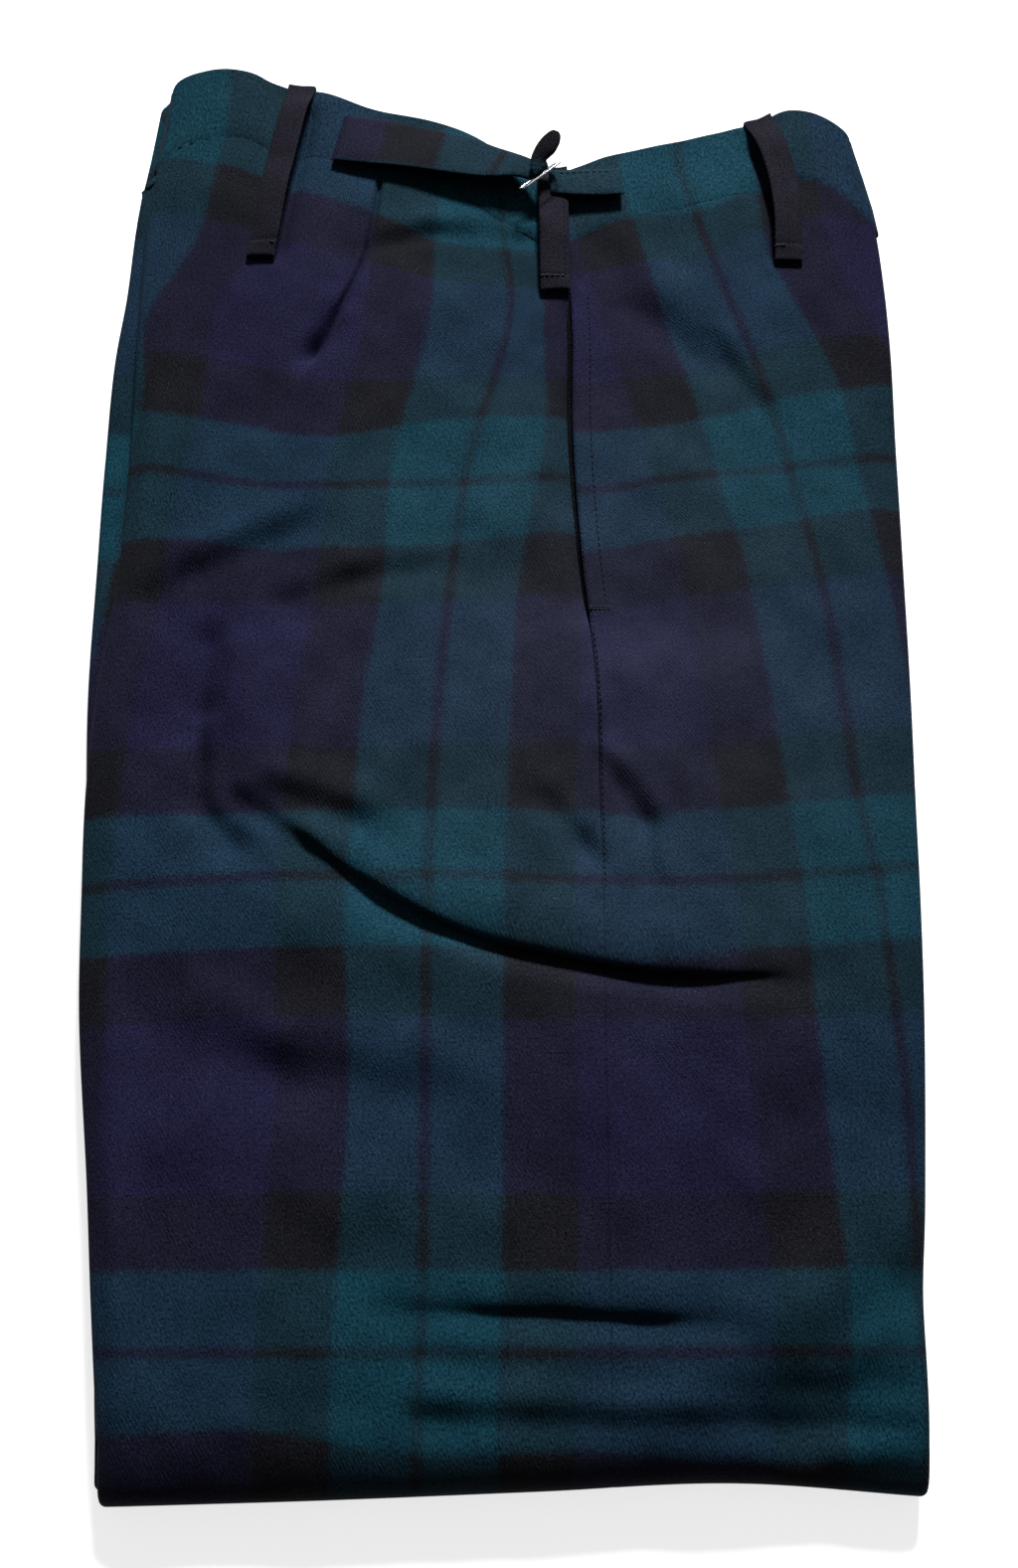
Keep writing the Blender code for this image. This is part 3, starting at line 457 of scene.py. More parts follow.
EDGE_FOLD_ROWS = named(EDGE_FOLD_COLUMNS, EDGE_FOLDS)
SOFT_FOLD_ROWS = named(SOFT_FOLD_COLUMNS, SOFT_FOLDS + FINE_FOLDS)
STEP_ROWS = named(STEP_COLUMNS, STEPS)
RIPPLE_ROWS = named(RIPPLE_COLUMNS, RIPPLES)
LOOP_ROWS = named(LOOP_COLUMNS, LOOPS)
CURVES = {name: [(row[0], row[i]) for row in SECTIONS] for i, name in enumerate(SECTION_COLUMNS)}


def along(points, value):
    """A smooth curve through (position, value) pairs, level beyond its two ends."""
    places, values = np.array(points, dtype=float).T
    slopes = np.gradient(values, places)
    value = np.clip(value, places[0], places[-1])
    i = np.clip(np.searchsorted(places, value) - 1, 0, len(places) - 2)
    step = places[i + 1] - places[i]
    t = (value - places[i]) / step
    line = values[i] * (2 * t ** 3 - 3 * t ** 2 + 1) + values[i + 1] * (3 * t ** 2 - 2 * t ** 3)
    return line + step * (slopes[i] * (t ** 3 - 2 * t ** 2 + t) + slopes[i + 1] * (t ** 3 - t ** 2))


def smooth(value):
    """0 below 0, 1 above 1 and an even S between."""
    value = np.clip(value, 0.0, 1.0)
    return value * value * (3.0 - 2.0 * value)


def near(value, middle, reach, fade):
    """1 within reach of the middle, falling to 0 over the fade."""
    return 1.0 - smooth((abs(value - middle) - reach) / fade)


def bell(off, width):
    return np.exp(-(off / width) ** 2)


def section(column, y):
    """One size of the folded trews at the distance y from the knee fold."""
    return along(CURVES[column], y)


def waist_top(x):
    dents = sum(bell(x - loop[3], LOOP_WIDTH / 2) for loop in LOOPS)
    return along(WAIST_TOP, x) - LOOP_DENT * dents


def waist_seam(x):
    return waist_top(x) - BAND_HEIGHT


def at_pocket(y):
    """1 along the pocket mouth and 0 beyond its ends."""
    return smooth((y - POCKET[0]) / POCKET_FADE + 0.5) * smooth((POCKET[1] - y) / POCKET_FADE)


def open_seam(y):
    """0 near the knee, where the side seam is pressed shut, and 1 above it."""
    return smooth((y - OPEN_SEAM[0]) / OPEN_SEAM[1])


def fold_share(fold, x):
    share = smooth((x - fold["start"]) / (fold["full"] - fold["start"]))
    return share * (1.0 - smooth((x - fold["fade"]) / (fold["end"] - fold["fade"])))


def edge_fold(fold, x, y):
    """A fold with a raised lip on its waist side and a trough under the lip."""
    off = y - along(fold["line"], x)
    lip = fold["lip"] * bell(off - LIP_SHIFT * fold["lip_width"], fold["lip_width"])
    trough = fold["trough"] * bell(off + TROUGH_SHIFT * fold["trough_width"], fold["trough_width"])
    return fold_share(fold, x) * (lip - trough)


def edge_fold_below(fold, x, y):
    """The same fold where it presses into the layers below."""
    off = y - along(fold["line"], x) + TROUGH_SHIFT * fold["trough_width"]
    return -fold_share(fold, x) * fold["trough"] * bell(off, fold["trough_width"] * UNDERLAY_SPREAD)


def overhang(x, y):
    """How far the cloth slides over itself at a fold: the lip kneewards, the trough waistwards."""
    shift = 0.0
    for fold in EDGE_FOLD_ROWS:
        off = y - along(fold["line"], x)
        lip = fold["overhang"] * bell(off - OVERHANG_WIDTH / 2, OVERHANG_WIDTH)
        trough = fold["tuck"] * bell(off + OVERHANG_WIDTH, TUCK_WIDTH)
        shift = shift + fold_share(fold, x) * (trough - lip)
    return shift


def soft_fold(fold, x, y):
    """A shallow trough along a straight line, fading round its ends."""
    run_x, run_y = fold["x1"] - fold["x0"], fold["y1"] - fold["y0"]
    t = ((x - fold["x0"]) * run_x + (y - fold["y0"]) * run_y) / (run_x ** 2 + run_y ** 2)
    t = np.clip(t, 0.0, 1.0)
    off = np.hypot(x - fold["x0"] - t * run_x, y - fold["y0"] - t * run_y)
    return fold["rise"] * bell(off, fold["width"])


def step_fold(fold, x, y):
    """A soft step up to the left of a straight line, with level cloth again beyond it."""
    run_x, run_y = fold["x1"] - fold["x0"], fold["y1"] - fold["y0"]
    length = math.hypot(run_x, run_y)
    t = ((x - fold["x0"]) * run_x + (y - fold["y0"]) * run_y) / length ** 2
    off = ((y - fold["y0"]) * run_x - (x - fold["x0"]) * run_y) / length
    past = (t - np.clip(t, 0.0, 1.0)) * length
    return fold["slope"] * off * np.exp(-(off / fold["width"]) ** 2 - (past / fold["width"]) ** 2)


def ripple(x, y):
    """The slight unevenness of heavy cloth that has been handled."""
    total = 0.0
    for wave in RIPPLE_ROWS:
        heading = math.radians(wave["heading"])
        run = x * math.cos(heading) + y * math.sin(heading)
        total = total + wave["rise"] * np.sin(2 * math.pi * run / wave["length"] + wave["phase"])
    return total


def side_share(x, y):
    """How far a point lies from the middle: 0 there and 1 at the creases."""
    back, front = section("back", y), section("front", y)
    return np.minimum(abs(2 * x - back - front) / (front - back), 1.0)


def level_at(x, y):
    """The height of the folded trews without their wrinkles."""
    edge, crown = section("edge", y), section("crown", y)
    rounded = smooth((side_share(x, y) - LEVEL_SHARE) / (1.0 - LEVEL_SHARE))
    drop = KNEE_DROP * smooth((KNEE_SLOPE[0] - y) / KNEE_SLOPE[1])
    return edge + (crown - edge) * (1.0 - rounded) - drop


def shoulder(x, y):
    """How much lower the cloth lies close to its creases, and where the front one is dented."""
    from_back = 1.0 - smooth((x - section("back", y)) / SHOULDER_RUN)
    from_front = 1.0 - smooth((section("front", y) - x) / SHOULDER_RUN)
    start, fade = SHOULDER_END
    share = 1.0 - smooth((y - start) / fade)
    dent = DENT_DEPTH * bell((x - DENT[0]) / DENT_SIZE[0], 1.0) * bell((y - DENT[1]) / DENT_SIZE[1], 1.0)
    return share * (SHOULDER_BACK * from_back + SHOULDER_FRONT * from_front) + dent


def loop_middle(loop, share):
    """x of a belt loop's middle at a share of its way from foot to top."""
    straight = loop["x_foot"] + share * (loop["x_top"] - loop["x_foot"])
    return straight + loop["bow"] * np.sin(math.pi * share)


def loop_groove(x, y):
    """How far the cloth dips beside the raised edge of each belt loop."""
    total = 0.0
    past_foot, foot_fade = LOOP_GROOVE_FOOT
    below_top, top_fade = LOOP_GROOVE_HEAD
    for loop in LOOP_ROWS:
        run = waist_top(loop["x_top"]) - loop["y_foot"]
        share = np.clip((y - loop["y_foot"]) / run, 0.0, 1.0)
        off = np.sign(loop["tip"]) * (x - loop_middle(loop, share)) - LOOP_WIDTH / 2 - LOOP_GROOVE_BESIDE
        at_foot = smooth((y - loop["y_foot"] + past_foot) / foot_fade)
        at_top = smooth((waist_top(x) - below_top - y) / top_fade)
        depth = LOOP_GROOVE * abs(loop["tip"]) / LOOP_GROOVE_TIP
        total = total + depth * bell(off, LOOP_GROOVE_WIDTH) * at_foot * at_top
    return total


def dart_groove(x, y, below):
    """How far the cloth dips at the dart, deepest and widest where it runs out."""
    off = x - along(DART, y)
    at_end = bell((y - DART_END) / DART_END_LENGTH, 1.0)
    width = (DART_WIDTH + DART_END_WIDTH * at_end) * (UNDERLAY_SPREAD if below else 1.0)
    past, fade, waist_fade = DART_FADES
    share = smooth((y - DART[0][0] + past) / fade) * smooth((waist_seam(x) - y) / waist_fade)
    return (DART_DEPTH + DART_END_DEPTH * at_end) * share * bell(off / width, 1.0)


def height(x, y, below=False, grooves=True):
    """The upper side of the folded trews, or the form that its hidden layers follow."""
    side, level = side_share(x, y), level_at(x, y)
    shape = edge_fold_below if below else edge_fold
    folds = sum(shape(fold, x, y) for fold in EDGE_FOLD_ROWS)
    folds = folds + sum(soft_fold(fold, x, y) for fold in SOFT_FOLD_ROWS) + ripple(x, y)
    steps = sum(step_fold(fold, x, y) for fold in STEP_ROWS)
    inside = 1.0 - smooth((side - FOLDS_SHARE) / FOLDS_FADE)
    well_inside = 1.0 - smooth((side - STEPS_SHARE) / STEPS_FADE)
    from_seam = x - section("seam", y)
    turned = POCKET_RISE * at_pocket(y) * (1.0 - smooth(from_seam / POCKET_TURN)) * (from_seam >= 0)
    pressed = shoulder(x, y) + dart_groove(x, y, below) + (loop_groove(x, y) if grooves else 0.0)
    return level + inside * folds + well_inside * steps + turned - pressed


def resting_level(x, y):
    """What a loop or strap lies on: the waistband, or the panels below its seam."""
    proud = BAND_PROUD * smooth((y - waist_seam(x)) / BAND_STEP + 1.0)
    return height(x, y, grooves=False) + proud


class Upper:
    """Rows across the upper side, bent to run along the folds that they meet."""

    def __init__(self, nominal):
        self.nominal = np.reshape(np.asarray(nominal, dtype=float), (-1, 1))

    def y(self, x):
        at_big = near(self.nominal, BIG_FOLD_MIDDLE, BIG_FOLD_REACH, BIG_FOLD_FADE)
        at_low = near(self.nominal, LOW_FOLD_MIDDLE, LOW_FOLD_REACH, LOW_FOLD_FADE)
        y = self.nominal + near(self.nominal, KNEE_REACH, 0.0, KNEE_FADE) * along(KNEE_EDGE, x)
        y = y + at_big * (along(BIG_FOLD, x) - BIG_FOLD_MIDDLE)
        y = y + at_low * (along(LOW_FOLD, x) - LOW_FOLD_MIDDLE)
        to_waist = smooth((self.nominal - SEAM_BEND) / (SEAM_MIDDLE - SEAM_BEND))
        return y + to_waist * (waist_seam(x) - SEAM_GAP - SEAM_MIDDLE)

    def run(self, x):
        """Distance along the cloth, from the knee fold's line towards the waist."""
        return self.y(x)

    def size(self, column, x):
        return section(column, self.y(x))

    def crease(self, side):
        column = "front" if side > 0 else "back"
        return self.size(column, self.size(column, 0.0))

    def seam(self):
        return self.size("seam", self.size("seam", 0.0))

    def nose(self, side):
        """Height of the right leg's rounded crease."""
        crease = self.crease(side)
        return np.maximum(NOSE_LEAST, height(crease, self.y(crease), grooves=False) / 4)

    def peek(self, side):
        return self.size("peek", self.crease(side)) if side < 0 else 0.0 * self.nominal

    def seam_dip(self, x, side):
        """How far the cloth dips at the side seam, the pocket mouth and the waist seam."""
        y = self.y(x)
        from_seam, pocket = abs(x - self.seam()), at_pocket(y)
        edge_depth, edge_width = POCKET_FRONT_DIP if side > 0 else POCKET_BACK_DIP
        least, more, width = SEAM_DIP
        valley = (least + more * open_seam(y)) * bell(from_seam, width)
        dip = pocket * edge_depth * bell(from_seam, edge_width) + (1.0 - pocket) * valley
        return dip + WAIST_DIP[0] * bell(waist_seam(x) - SEAM_GAP - y, WAIST_DIP[1])

    def place(self, x, depth, below=False):
        y = self.y(x)
        z = height(x, y, below) - depth
        if not below:
            y = y + overhang(x, y)
        return np.stack(np.broadcast_arrays(x, y, z), axis=-1)


class Band(Upper):
    """Rows across the waistband, each a share of its height above the seam."""

    def y(self, x):
        return waist_seam(x) + self.nominal * BAND_HEIGHT


class Turn(Upper):
    """Rows round the knee fold: 0 degrees faces up and 180 degrees faces down."""

    def __init__(self, angles):
        super().__init__(np.full(len(angles), KNEE_REACH))
        self.angle = np.radians(np.reshape(np.asarray(angles, dtype=float), (-1, 1)))

    def run(self, x):
        return self.y(x) - KNEE_ARC * self.angle / math.pi

    def seam_dip(self, x, side):
        return SEAM_DIP[0] * bell(x - self.seam(), SEAM_DIP[2])

    def place(self, x, depth, below=False):
        reached = self.y(x) - KNEE_REACH * np.sin(np.minimum(self.angle, math.pi / 2))
        half = height(x, reached, below) / 2
        y = self.y(x) - (KNEE_REACH - depth) * np.sin(self.angle)
        z = half + (half - depth) * np.cos(self.angle)
        return np.stack(np.broadcast_arrays(x, y, z), axis=-1)


class Lower(Upper):
    """Rows across the flat underside, between the knee fold and the hem."""

    def bend(self):
        return 1.0 - smooth((self.nominal - KNEE_REACH) / LOW_NOSE_RUN)

    def y(self, x):
        return self.nominal + self.bend() * along(KNEE_EDGE, x)

    def run(self, x):
        return 2 * KNEE_REACH + along(KNEE_EDGE, x) - KNEE_ARC - self.nominal

    def crease(self, side):
        knee = Upper(KNEE_REACH).crease(side)
        low = section("low_front" if side > 0 else "low_back", self.nominal)
        return self.bend() * knee + (1.0 - self.bend()) * low

    def seam(self):
        knee = Upper(KNEE_REACH)
        share = (knee.seam() - knee.crease(-1)) / (knee.crease(1) - knee.crease(-1))
        return self.crease(-1) + share * (self.crease(1) - self.crease(-1))

    def nose(self, side):
        return LOW_NOSE + self.bend() * (Upper(KNEE_REACH).nose(side) - LOW_NOSE)

    def peek(self, side):
        return Upper(KNEE_REACH).peek(side) + 0.0 * self.nominal

    def seam_dip(self, x, side):
        return SEAM_DIP[0] * bell(x - self.seam(), SEAM_DIP[2])

    def place(self, x, depth, below=False):
        return np.stack(np.broadcast_arrays(x, self.y(x), depth), axis=-1)


def spaced(start, end, step):
    """Even places from start to end, about a step apart."""
    return list(np.linspace(start, end, max(2, round(abs(end - start) / step) + 1)))


def leg_runs(fine):
    """Rows from the waist seam down the upper side, round the knee and back to the hem."""
    upper = list(SEAM_ROWS)
    for stretch in named(ROW_COLUMNS, UPPER_ROWS):
        rows = spaced(stretch["start"], stretch["end"], stretch["step"] * fine)
        upper += rows if stretch["with_end"] else rows[:-1]
    turn = 180 / TURN_ROWS
    angles = spaced(turn, 180 - turn, turn)
    lower = [place for stretch in LOWER_ROWS for place in spaced(*stretch)]
    return [Upper(upper), Turn(angles), Lower(lower + list(HEM_ROWS))]


def grain(lines, across, down):
    """The cloth's own coordinate at each point, between lines of known grain."""
    places = [along(points, down) for _, points in lines]
    marks = [mark for mark, _ in lines]
    result = marks[0] + across - places[0]
    for i in range(len(lines) - 1):
        share = (across - places[i]) / (places[i + 1] - places[i])
        result = np.where(across > places[i], marks[i] + share * (marks[i + 1] - marks[i]), result)
    return np.where(across > places[-1], marks[-1] + across - places[-1], result)


def weave(side, x, run):
    """Distances across and along the cloth at a point of the back (-1) or front (1) panel."""
    warp, weft = (BACK_WARP, BACK_WEFT) if side < 0 else (FRONT_WARP, FRONT_WEFT)
    inside = np.clip(x, section("back", run), section("front", run))
    lower = PHOTO_PLANE - np.minimum(level_at(inside, np.clip(run, *KNEE_LOOKUP)), PHOTO_PLANE)
    lower = lower / (EYE[2] - PHOTO_PLANE + lower) * smooth((run - KNEE_REACH) / PHOTO_FADE)
    x = x + (EYE[0] - x) * lower
    run = run + (EYE[1] - run) * lower
    across = grain(warp, x, run)
    if side < 0:
        beyond = x < along(DART, run) - DART_EDGE
        across = across - DART_TAKE * smooth((run - DART[0][0]) / (DART[-1][0] - DART[0][0])) * beyond
    return np.stack([across, grain(weft, run, np.clip(x, -150, 156))], axis=-1)


def panel_shares(side):
    """Column places between the side seam and the crease, close together at seam and dart."""
    width = PANEL_WIDTHS[side]
    shares = [place / width for place in SEAM_COLUMNS]
    following, step = NEXT_COLUMN / width, COLUMN_STEP / width
    if side > 0:
        return np.array([shares + spaced(following, 1.0, step)])
    first, last = (DART_SHARE + reach / width for reach in (-DART_COLUMNS_HALF, DART_COLUMNS_HALF))
    shares += spaced(following, first, step) + [DART_SHARE + place / width for place in DART_COLUMNS]
    return np.array([shares + spaced(last, 1.0, step)])


def pocket_gape(y):
    """How far the back panel's edge stands away from the pocket mouth."""
    return along(POCKET_GAPE, y) * at_pocket(y)


def panel_columns(row, side, flat_end):
    """x of the columns between seam and crease. The back panel's run along its dart."""
    shares = panel_shares(side)
    seam_y = row.y(row.seam())
    gap = LOW_SEAM_GAP + (SEAM_GAP - LOW_SEAM_GAP) * open_seam(seam_y)
    start = row.seam() + side * gap / 2
    if side < 0:
        start = start - pocket_gape(seam_y)
        run = row.run(DART_LOOKUP)
        dart = (along(DART, run) - start) / (flat_end - start)
        dart = np.where(run < DART[0][0], DART_BELOW, dart)
        shares = np.where(shares < DART_SHARE, shares / DART_SHARE * dart,
                          dart + (shares - DART_SHARE) / (1 - DART_SHARE) * (1 - dart))
    return start + shares * (flat_end - start)


ARC = np.radians(np.linspace(0, 180, 10)[1:])
INNER_SHARES = np.linspace(0, 1, 36)[1:]


def panel_grid(row, side):
    """Points and weave of one panel: flat to its crease, round it and back to the inside seam."""
    radius = row.nose(side) / 2
    flat_end = row.crease(side) - side * radius
    x = panel_columns(row, side, flat_end)
    outer = row.place(x, row.seam_dip(x, side))
    turn_x = flat_end + side * radius * np.sin(ARC)
    turn = row.place(turn_x, radius * (1 - np.cos(ARC)))
    reach = side * (flat_end - row.seam()) - INNER_GAP
    inner_x = flat_end - side * reach * INNER_SHARES
    inner = row.place(inner_x, 2 * radius + 0 * inner_x, below=True)
    cloth_x = np.concatenate([x, flat_end + side * radius * ARC,
                              flat_end + side * (radius * math.pi + reach * INNER_SHARES)], axis=1)
    run = row.run(np.concatenate([x, turn_x, inner_x], axis=1))
    return np.concatenate([outer, turn, inner], axis=1), weave(side, cloth_x, run)


def to_metres(points):
    """Points in the folded trews' own millimetres, in the part's frame."""
    return (np.asarray(points, dtype=float) - np.array([*MIDDLE, 0.0])) * MM


def new_object(name, mesh_data, material):
    obj = bpy.data.objects.new(name, mesh_data)
    bpy.context.collection.objects.link(obj)
    mesh_data.materials.append(material)
    mesh_data.shade_smooth()
    return obj


def grid_mesh(name, points, weaves, around=False):
    """A mesh of quads through a grid of points, its weave kept as a UV map in metres."""
    rows, columns = points.shape[:2]
    index = np.arange(rows * columns).reshape(rows, columns)
    right = np.roll(index, -1, axis=1) if around else index[:, 1:]
    left = index if around else index[:, :-1]
    faces = np.stack([left[:-1], left[1:], right[1:], right[:-1]], axis=-1).reshape(-1, 4)
    data = bpy.data.meshes.new(name)
    data.from_pydata(to_metres(points.reshape(-1, 3)), [], faces.tolist())
    layer = data.uv_layers.new(name="Weave")
    corners = faces.reshape(-1)
    layer.uv.foreach_set("vector", (weaves.reshape(-1, 2)[corners] * MM).ravel())
    return data


def apply_modifiers(obj):
    bpy.ops.object.select_all(action="DESELECT")
    obj.select_set(True)
    bpy.context.view_layer.objects.active = obj
    for name in [modifier.name for modifier in obj.modifiers]:
        bpy.ops.object.modifier_apply(modifier=name)


def cloth_sheet(name, points, weaves, wall, material, outwards, around=False):
    """A sheet of cloth: its outer side through the points, with the wall inside them."""
    data = grid_mesh(name, points, weaves, around)
    if not outwards:
        data.flip_normals()
    obj = new_object(name, data, material)
    solid = obj.modifiers.new("Wall", "SOLIDIFY")
    solid.thickness = wall * MM
    solid.offset = -1.0
    solid.use_quality_normals = True
    apply_modifiers(obj)
    return obj


def closed_strip(name, rings, weaves, material):
    """A closed strip through rings of points, with both ends filled."""
    data = grid_mesh(name, rings, weaves, around=True)
    mesh = bmesh.new()
    mesh.from_mesh(data)
    mesh.verts.ensure_lookup_table()
    count = rings.shape[1]
    mesh.faces.new([mesh.verts[i] for i in range(count)])
    mesh.faces.new([mesh.verts[len(mesh.verts) - 1 - i] for i in range(count)])
    bmesh.ops.recalc_face_normals(mesh, faces=mesh.faces)
    mesh.to_mesh(data)
    mesh.free()
    return new_object(name, data, material)


def leg_panel(name, side, node):
    grids = [panel_grid(run, side) for run in leg_runs(1.0)]
    points, weaves = (np.concatenate(parts) for parts in zip(*grids))
    obj = cloth_sheet(name, points, weaves, WALL, tartan(), side > 0)
    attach(obj, "root")
    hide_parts(node)


def pocket_shade_sheet():
    """A near-black sheet behind the pocket mouth, seen where the mouth stands open: painted shade for the
    shadow inside the mouth.
    """
    y = np.array(spaced(POCKET[0] + 1, POCKET[1] + 1, 3.0))[:, None]
    seam = section("seam", y)
    back_edge = seam - SEAM_GAP / 2 - pocket_gape(y) + 0.1
    open_part = back_edge + np.linspace(0, 1, 6)[None, :-1] * (seam - back_edge)
    x = np.concatenate([open_part, seam + np.array([SHADE_SHEET_PLACES])], axis=1)
    behind = 1.0 - smooth((x - seam - 0.6) / 1.4)
    z = height(x, y) - SHADE_SHEET_DEPTH - POCKET_RISE * at_pocket(y) * behind * (x >= seam)
    points = np.stack(np.broadcast_arrays(x, y, z), axis=-1)
    obj = cloth_sheet("pocket_shade_sheet", points, points[..., :2], SHADE_SHEET_WALL, pocket_shade_wool(), True)
    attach(obj, "root")


LEFT_SHARES = np.linspace(0, 1, 56)
LEFT_ARC = np.radians(np.linspace(0, 180, 9)[1:-1])


def left_leg_grid(row):
    """A ring round the left leg, folded flat under the right one."""
    halves = {side: (row.nose(side) - SEAM_GAP - SLIT / 2) / 2 for side in (-1, 1)}
    centres = {side: row.crease(side) + side * (row.peek(side) - halves[side]) for side in (-1, 1)}
    tops = {side: row.nose(side) + SEAM_GAP for side in (-1, 1)}
    x = centres[-1] + LEFT_SHARES * (centres[1] - centres[-1])
    half = halves[-1] + LEFT_SHARES * (halves[1] - halves[-1])
    top = tops[-1] + LEFT_SHARES * (tops[1] - tops[-1])
    front_x = centres[1] + halves[1] * np.sin(LEFT_ARC)
    front_depth = tops[1] + halves[1] * (1 - np.cos(LEFT_ARC))
    back_x = centres[-1] - halves[-1] * np.sin(LEFT_ARC)
    back_depth = tops[-1] + halves[-1] * (1 + np.cos(LEFT_ARC))
    xs = np.concatenate([x, front_x, x[:, ::-1], back_x], axis=1)
    depths = np.concatenate([top, front_depth, (top + 2 * half)[:, ::-1], back_depth], axis=1)
    run = row.run(xs)
    weaves = np.stack([grain(BACK_WARP, xs, run), grain(BACK_WEFT, run, np.clip(xs, -145, 35))], axis=-1)
    return row.place(xs, depths, below=True), weaves


def left_leg():
    """The left leg as one flattened tube, folded at the knee inside the right leg."""
    upper, turn, lower = leg_runs(LEFT_ROWS_APART)
    upper = Upper(upper.nominal - UNDER_SEAM * (upper.nominal > SEAM_MIDDLE - 1))
    lower = Lower(lower.nominal)
    grids = [left_leg_grid(run) for run in (upper, turn, lower)]
    points, weaves = (np.concatenate(parts) for parts in zip(*grids))
    obj = cloth_sheet("left_leg_cloth", points, weaves, LEFT_WALL, tartan(), True, around=True)
    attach(obj, "root")
    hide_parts("folded_layers")


def band_ends(row):
    """x where the waistband starts to turn under, at the back (-1) and at the front (1)."""
    return {side: row.crease(side) - side * row.nose(side) / 2 for side in (-1, 1)}


def band_turn(end, side):
    """The columns round one turned end: x, cloth x and depth, from the left."""
    radius = BAND_NOSE / 2
    tuck = BAND_TUCK * np.array([[0.5, 1.0]])
    x = np.concatenate([end + side * radius * np.sin(ARC), end - side * tuck], axis=1)
    cloth = np.concatenate([end + side * radius * ARC, end + side * (radius * math.pi + tuck)], axis=1)
    depth = np.concatenate([radius * (1 - np.cos(ARC)), 2 * radius + 0 * tuck[0]])
    return x[:, ::side], cloth[:, ::side], depth[::side]


def band_across(row):
    """Turned ends and columns across the waistband: x, cloth x and depth, and which are in front."""
    ends, seam = band_ends(row), row.seam()
    back_x, back_cloth, back_depth = band_turn(ends[-1], -1)
    front_x, front_cloth, front_depth = band_turn(ends[1], 1)
    back = ends[-1] + np.linspace(0, 1, BAND_COLUMNS[0]) * (seam - ends[-1])
    front = seam + np.linspace(0, 1, BAND_COLUMNS[1]) * (ends[1] - seam)
    x = np.concatenate([back_x, back, front, front_x], axis=1)
    cloth = np.concatenate([back_cloth, back, front, front_cloth], axis=1)
    depth = np.concatenate([back_depth, np.zeros(sum(BAND_COLUMNS)), front_depth])
    is_front = np.arange(x.shape[1]) >= len(back_depth) + BAND_COLUMNS[0]
    return x, cloth, depth, is_front


def band_wrinkle(x, share):
    """Small ridges where the waistband is pressed at its back end, and waves along its top."""
    from_end = x - section("back", BAND_MIDDLE)
    rise, turns, slant, reach = BAND_PLEATS
    pleats = rise * np.sin(from_end * turns + share * slant) * bell(from_end - reach, reach)
    rise, turns, slant = BAND_WAVES
    return pleats + rise * np.sin(x * turns + share * slant) * share


def band_row(share, angle):
    """Points and weave of one row: a share of the band's height, or an angle over its top edge."""
    row = Band([share])
    x, cloth, depth, is_front = band_across(row)
    y = row.y(x)
    radius, bend = BAND_WALL / 2, math.radians(angle)
    z = height(x, y) + BAND_PROUD - depth - radius * (1 - math.cos(bend))
    if angle == 0:
        valley = (BAND_PROUD + 0.15) * bell(share * BAND_HEIGHT, 2.2)
        z = z - valley + band_wrinkle(x, share) * (depth < 0.1)
    points = np.stack(np.broadcast_arrays(x, y - radius + radius * math.sin(bend), z), axis=-1)
    run = y + radius * bend + (1.0 - share) * BAND_HEIGHT * (angle > 0)
    weaves = np.where(is_front[None, :, None], weave(1, cloth, y), weave(-1, cloth, y))
    weaves[..., 1] = BAND_GREEN + (run - waist_seam(x)) * BAND_GREEN_STEP
    return points, weaves


def waistband_right():
    """The right half of the waistband: folded over at the top and turned under at both ends."""
    turns = [(share, 0.0) for share in BAND_ROWS] + [(1.0, angle) for angle in BAND_FOLD]
    turns += [(share, 180.0) for share in BAND_INNER_ROWS]
    rows = [band_row(share, angle) for share, angle in turns]
    points, weaves = (np.concatenate(parts) for parts in zip(*rows))
    obj = cloth_sheet("waistband_right_cloth", points, weaves, BAND_CLOTH, tartan(), False)
    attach(obj, "root")
    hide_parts("waistband_right")


def under_band_edge(tip, end, side, under):
    """One rounded edge of the lower band: x and depth round it, and x of its flat part."""
    turn = np.radians(np.array([BAND_FOLD]))
    turn = np.concatenate([0 * turn[:, :1], turn], axis=1)
    half = UNDER_BAND_EDGE / 2
    flat_x = np.linspace(0, 1, 4)[1:] * (tip - side * half - end) + end
    return tip - side * half + side * half * np.sin(turn), under + half * (1 - np.cos(turn)), flat_x


def under_band_row(share):
    """Points and weave of one ring round the lower band, wide where it leaves the upper one."""
    row = Band([share])
    ends = band_ends(row)
    inside = BAND_WALL - BAND_PROUD + BAND_OPENING
    under = BAND_NOSE - BAND_PROUD + SEAM_GAP
    thin = UNDER_BAND_THIN * (bell(share, 0.02) + bell(1.0 - share, 0.02))
    start, stop = (ends[side] - side * (BAND_TUCK + UNDER_BAND_GAP) for side in (-1, 1))
    middle = start + np.linspace(0, 1, 40) * (stop - start)
    front_x, front_depth, front_flat = under_band_edge(row.crease(1), ends[1], 1, under)
    back_x, back_depth, back_flat = under_band_edge(row.crease(-1) - BAND_PEEK, ends[-1], -1, under)
    one, flat = 0 * middle[:, :1], 0 * front_flat
    upper, lower = under + thin, under + UNDER_BAND_EDGE - thin
    x = np.concatenate([middle, ends[1] + one, front_flat, front_x, front_flat[:, ::-1], middle[:, ::-1],
                        back_flat, back_x[:, ::-1], back_flat[:, ::-1], ends[-1] + one], axis=1)
    depth = np.concatenate([inside + thin + 0 * middle, upper + one, upper + flat, front_depth,
                            lower + flat, inside + BAND_WALL - thin + 0 * middle, lower + flat,
                            back_depth[:, ::-1], upper + flat, upper + one], axis=1)
    y = row.y(x)
    points = np.stack([x, y - UNDER_BAND_LOWER * share, height(x, y, below=True) - depth], axis=-1)
    return points, weave(-1, x, y)


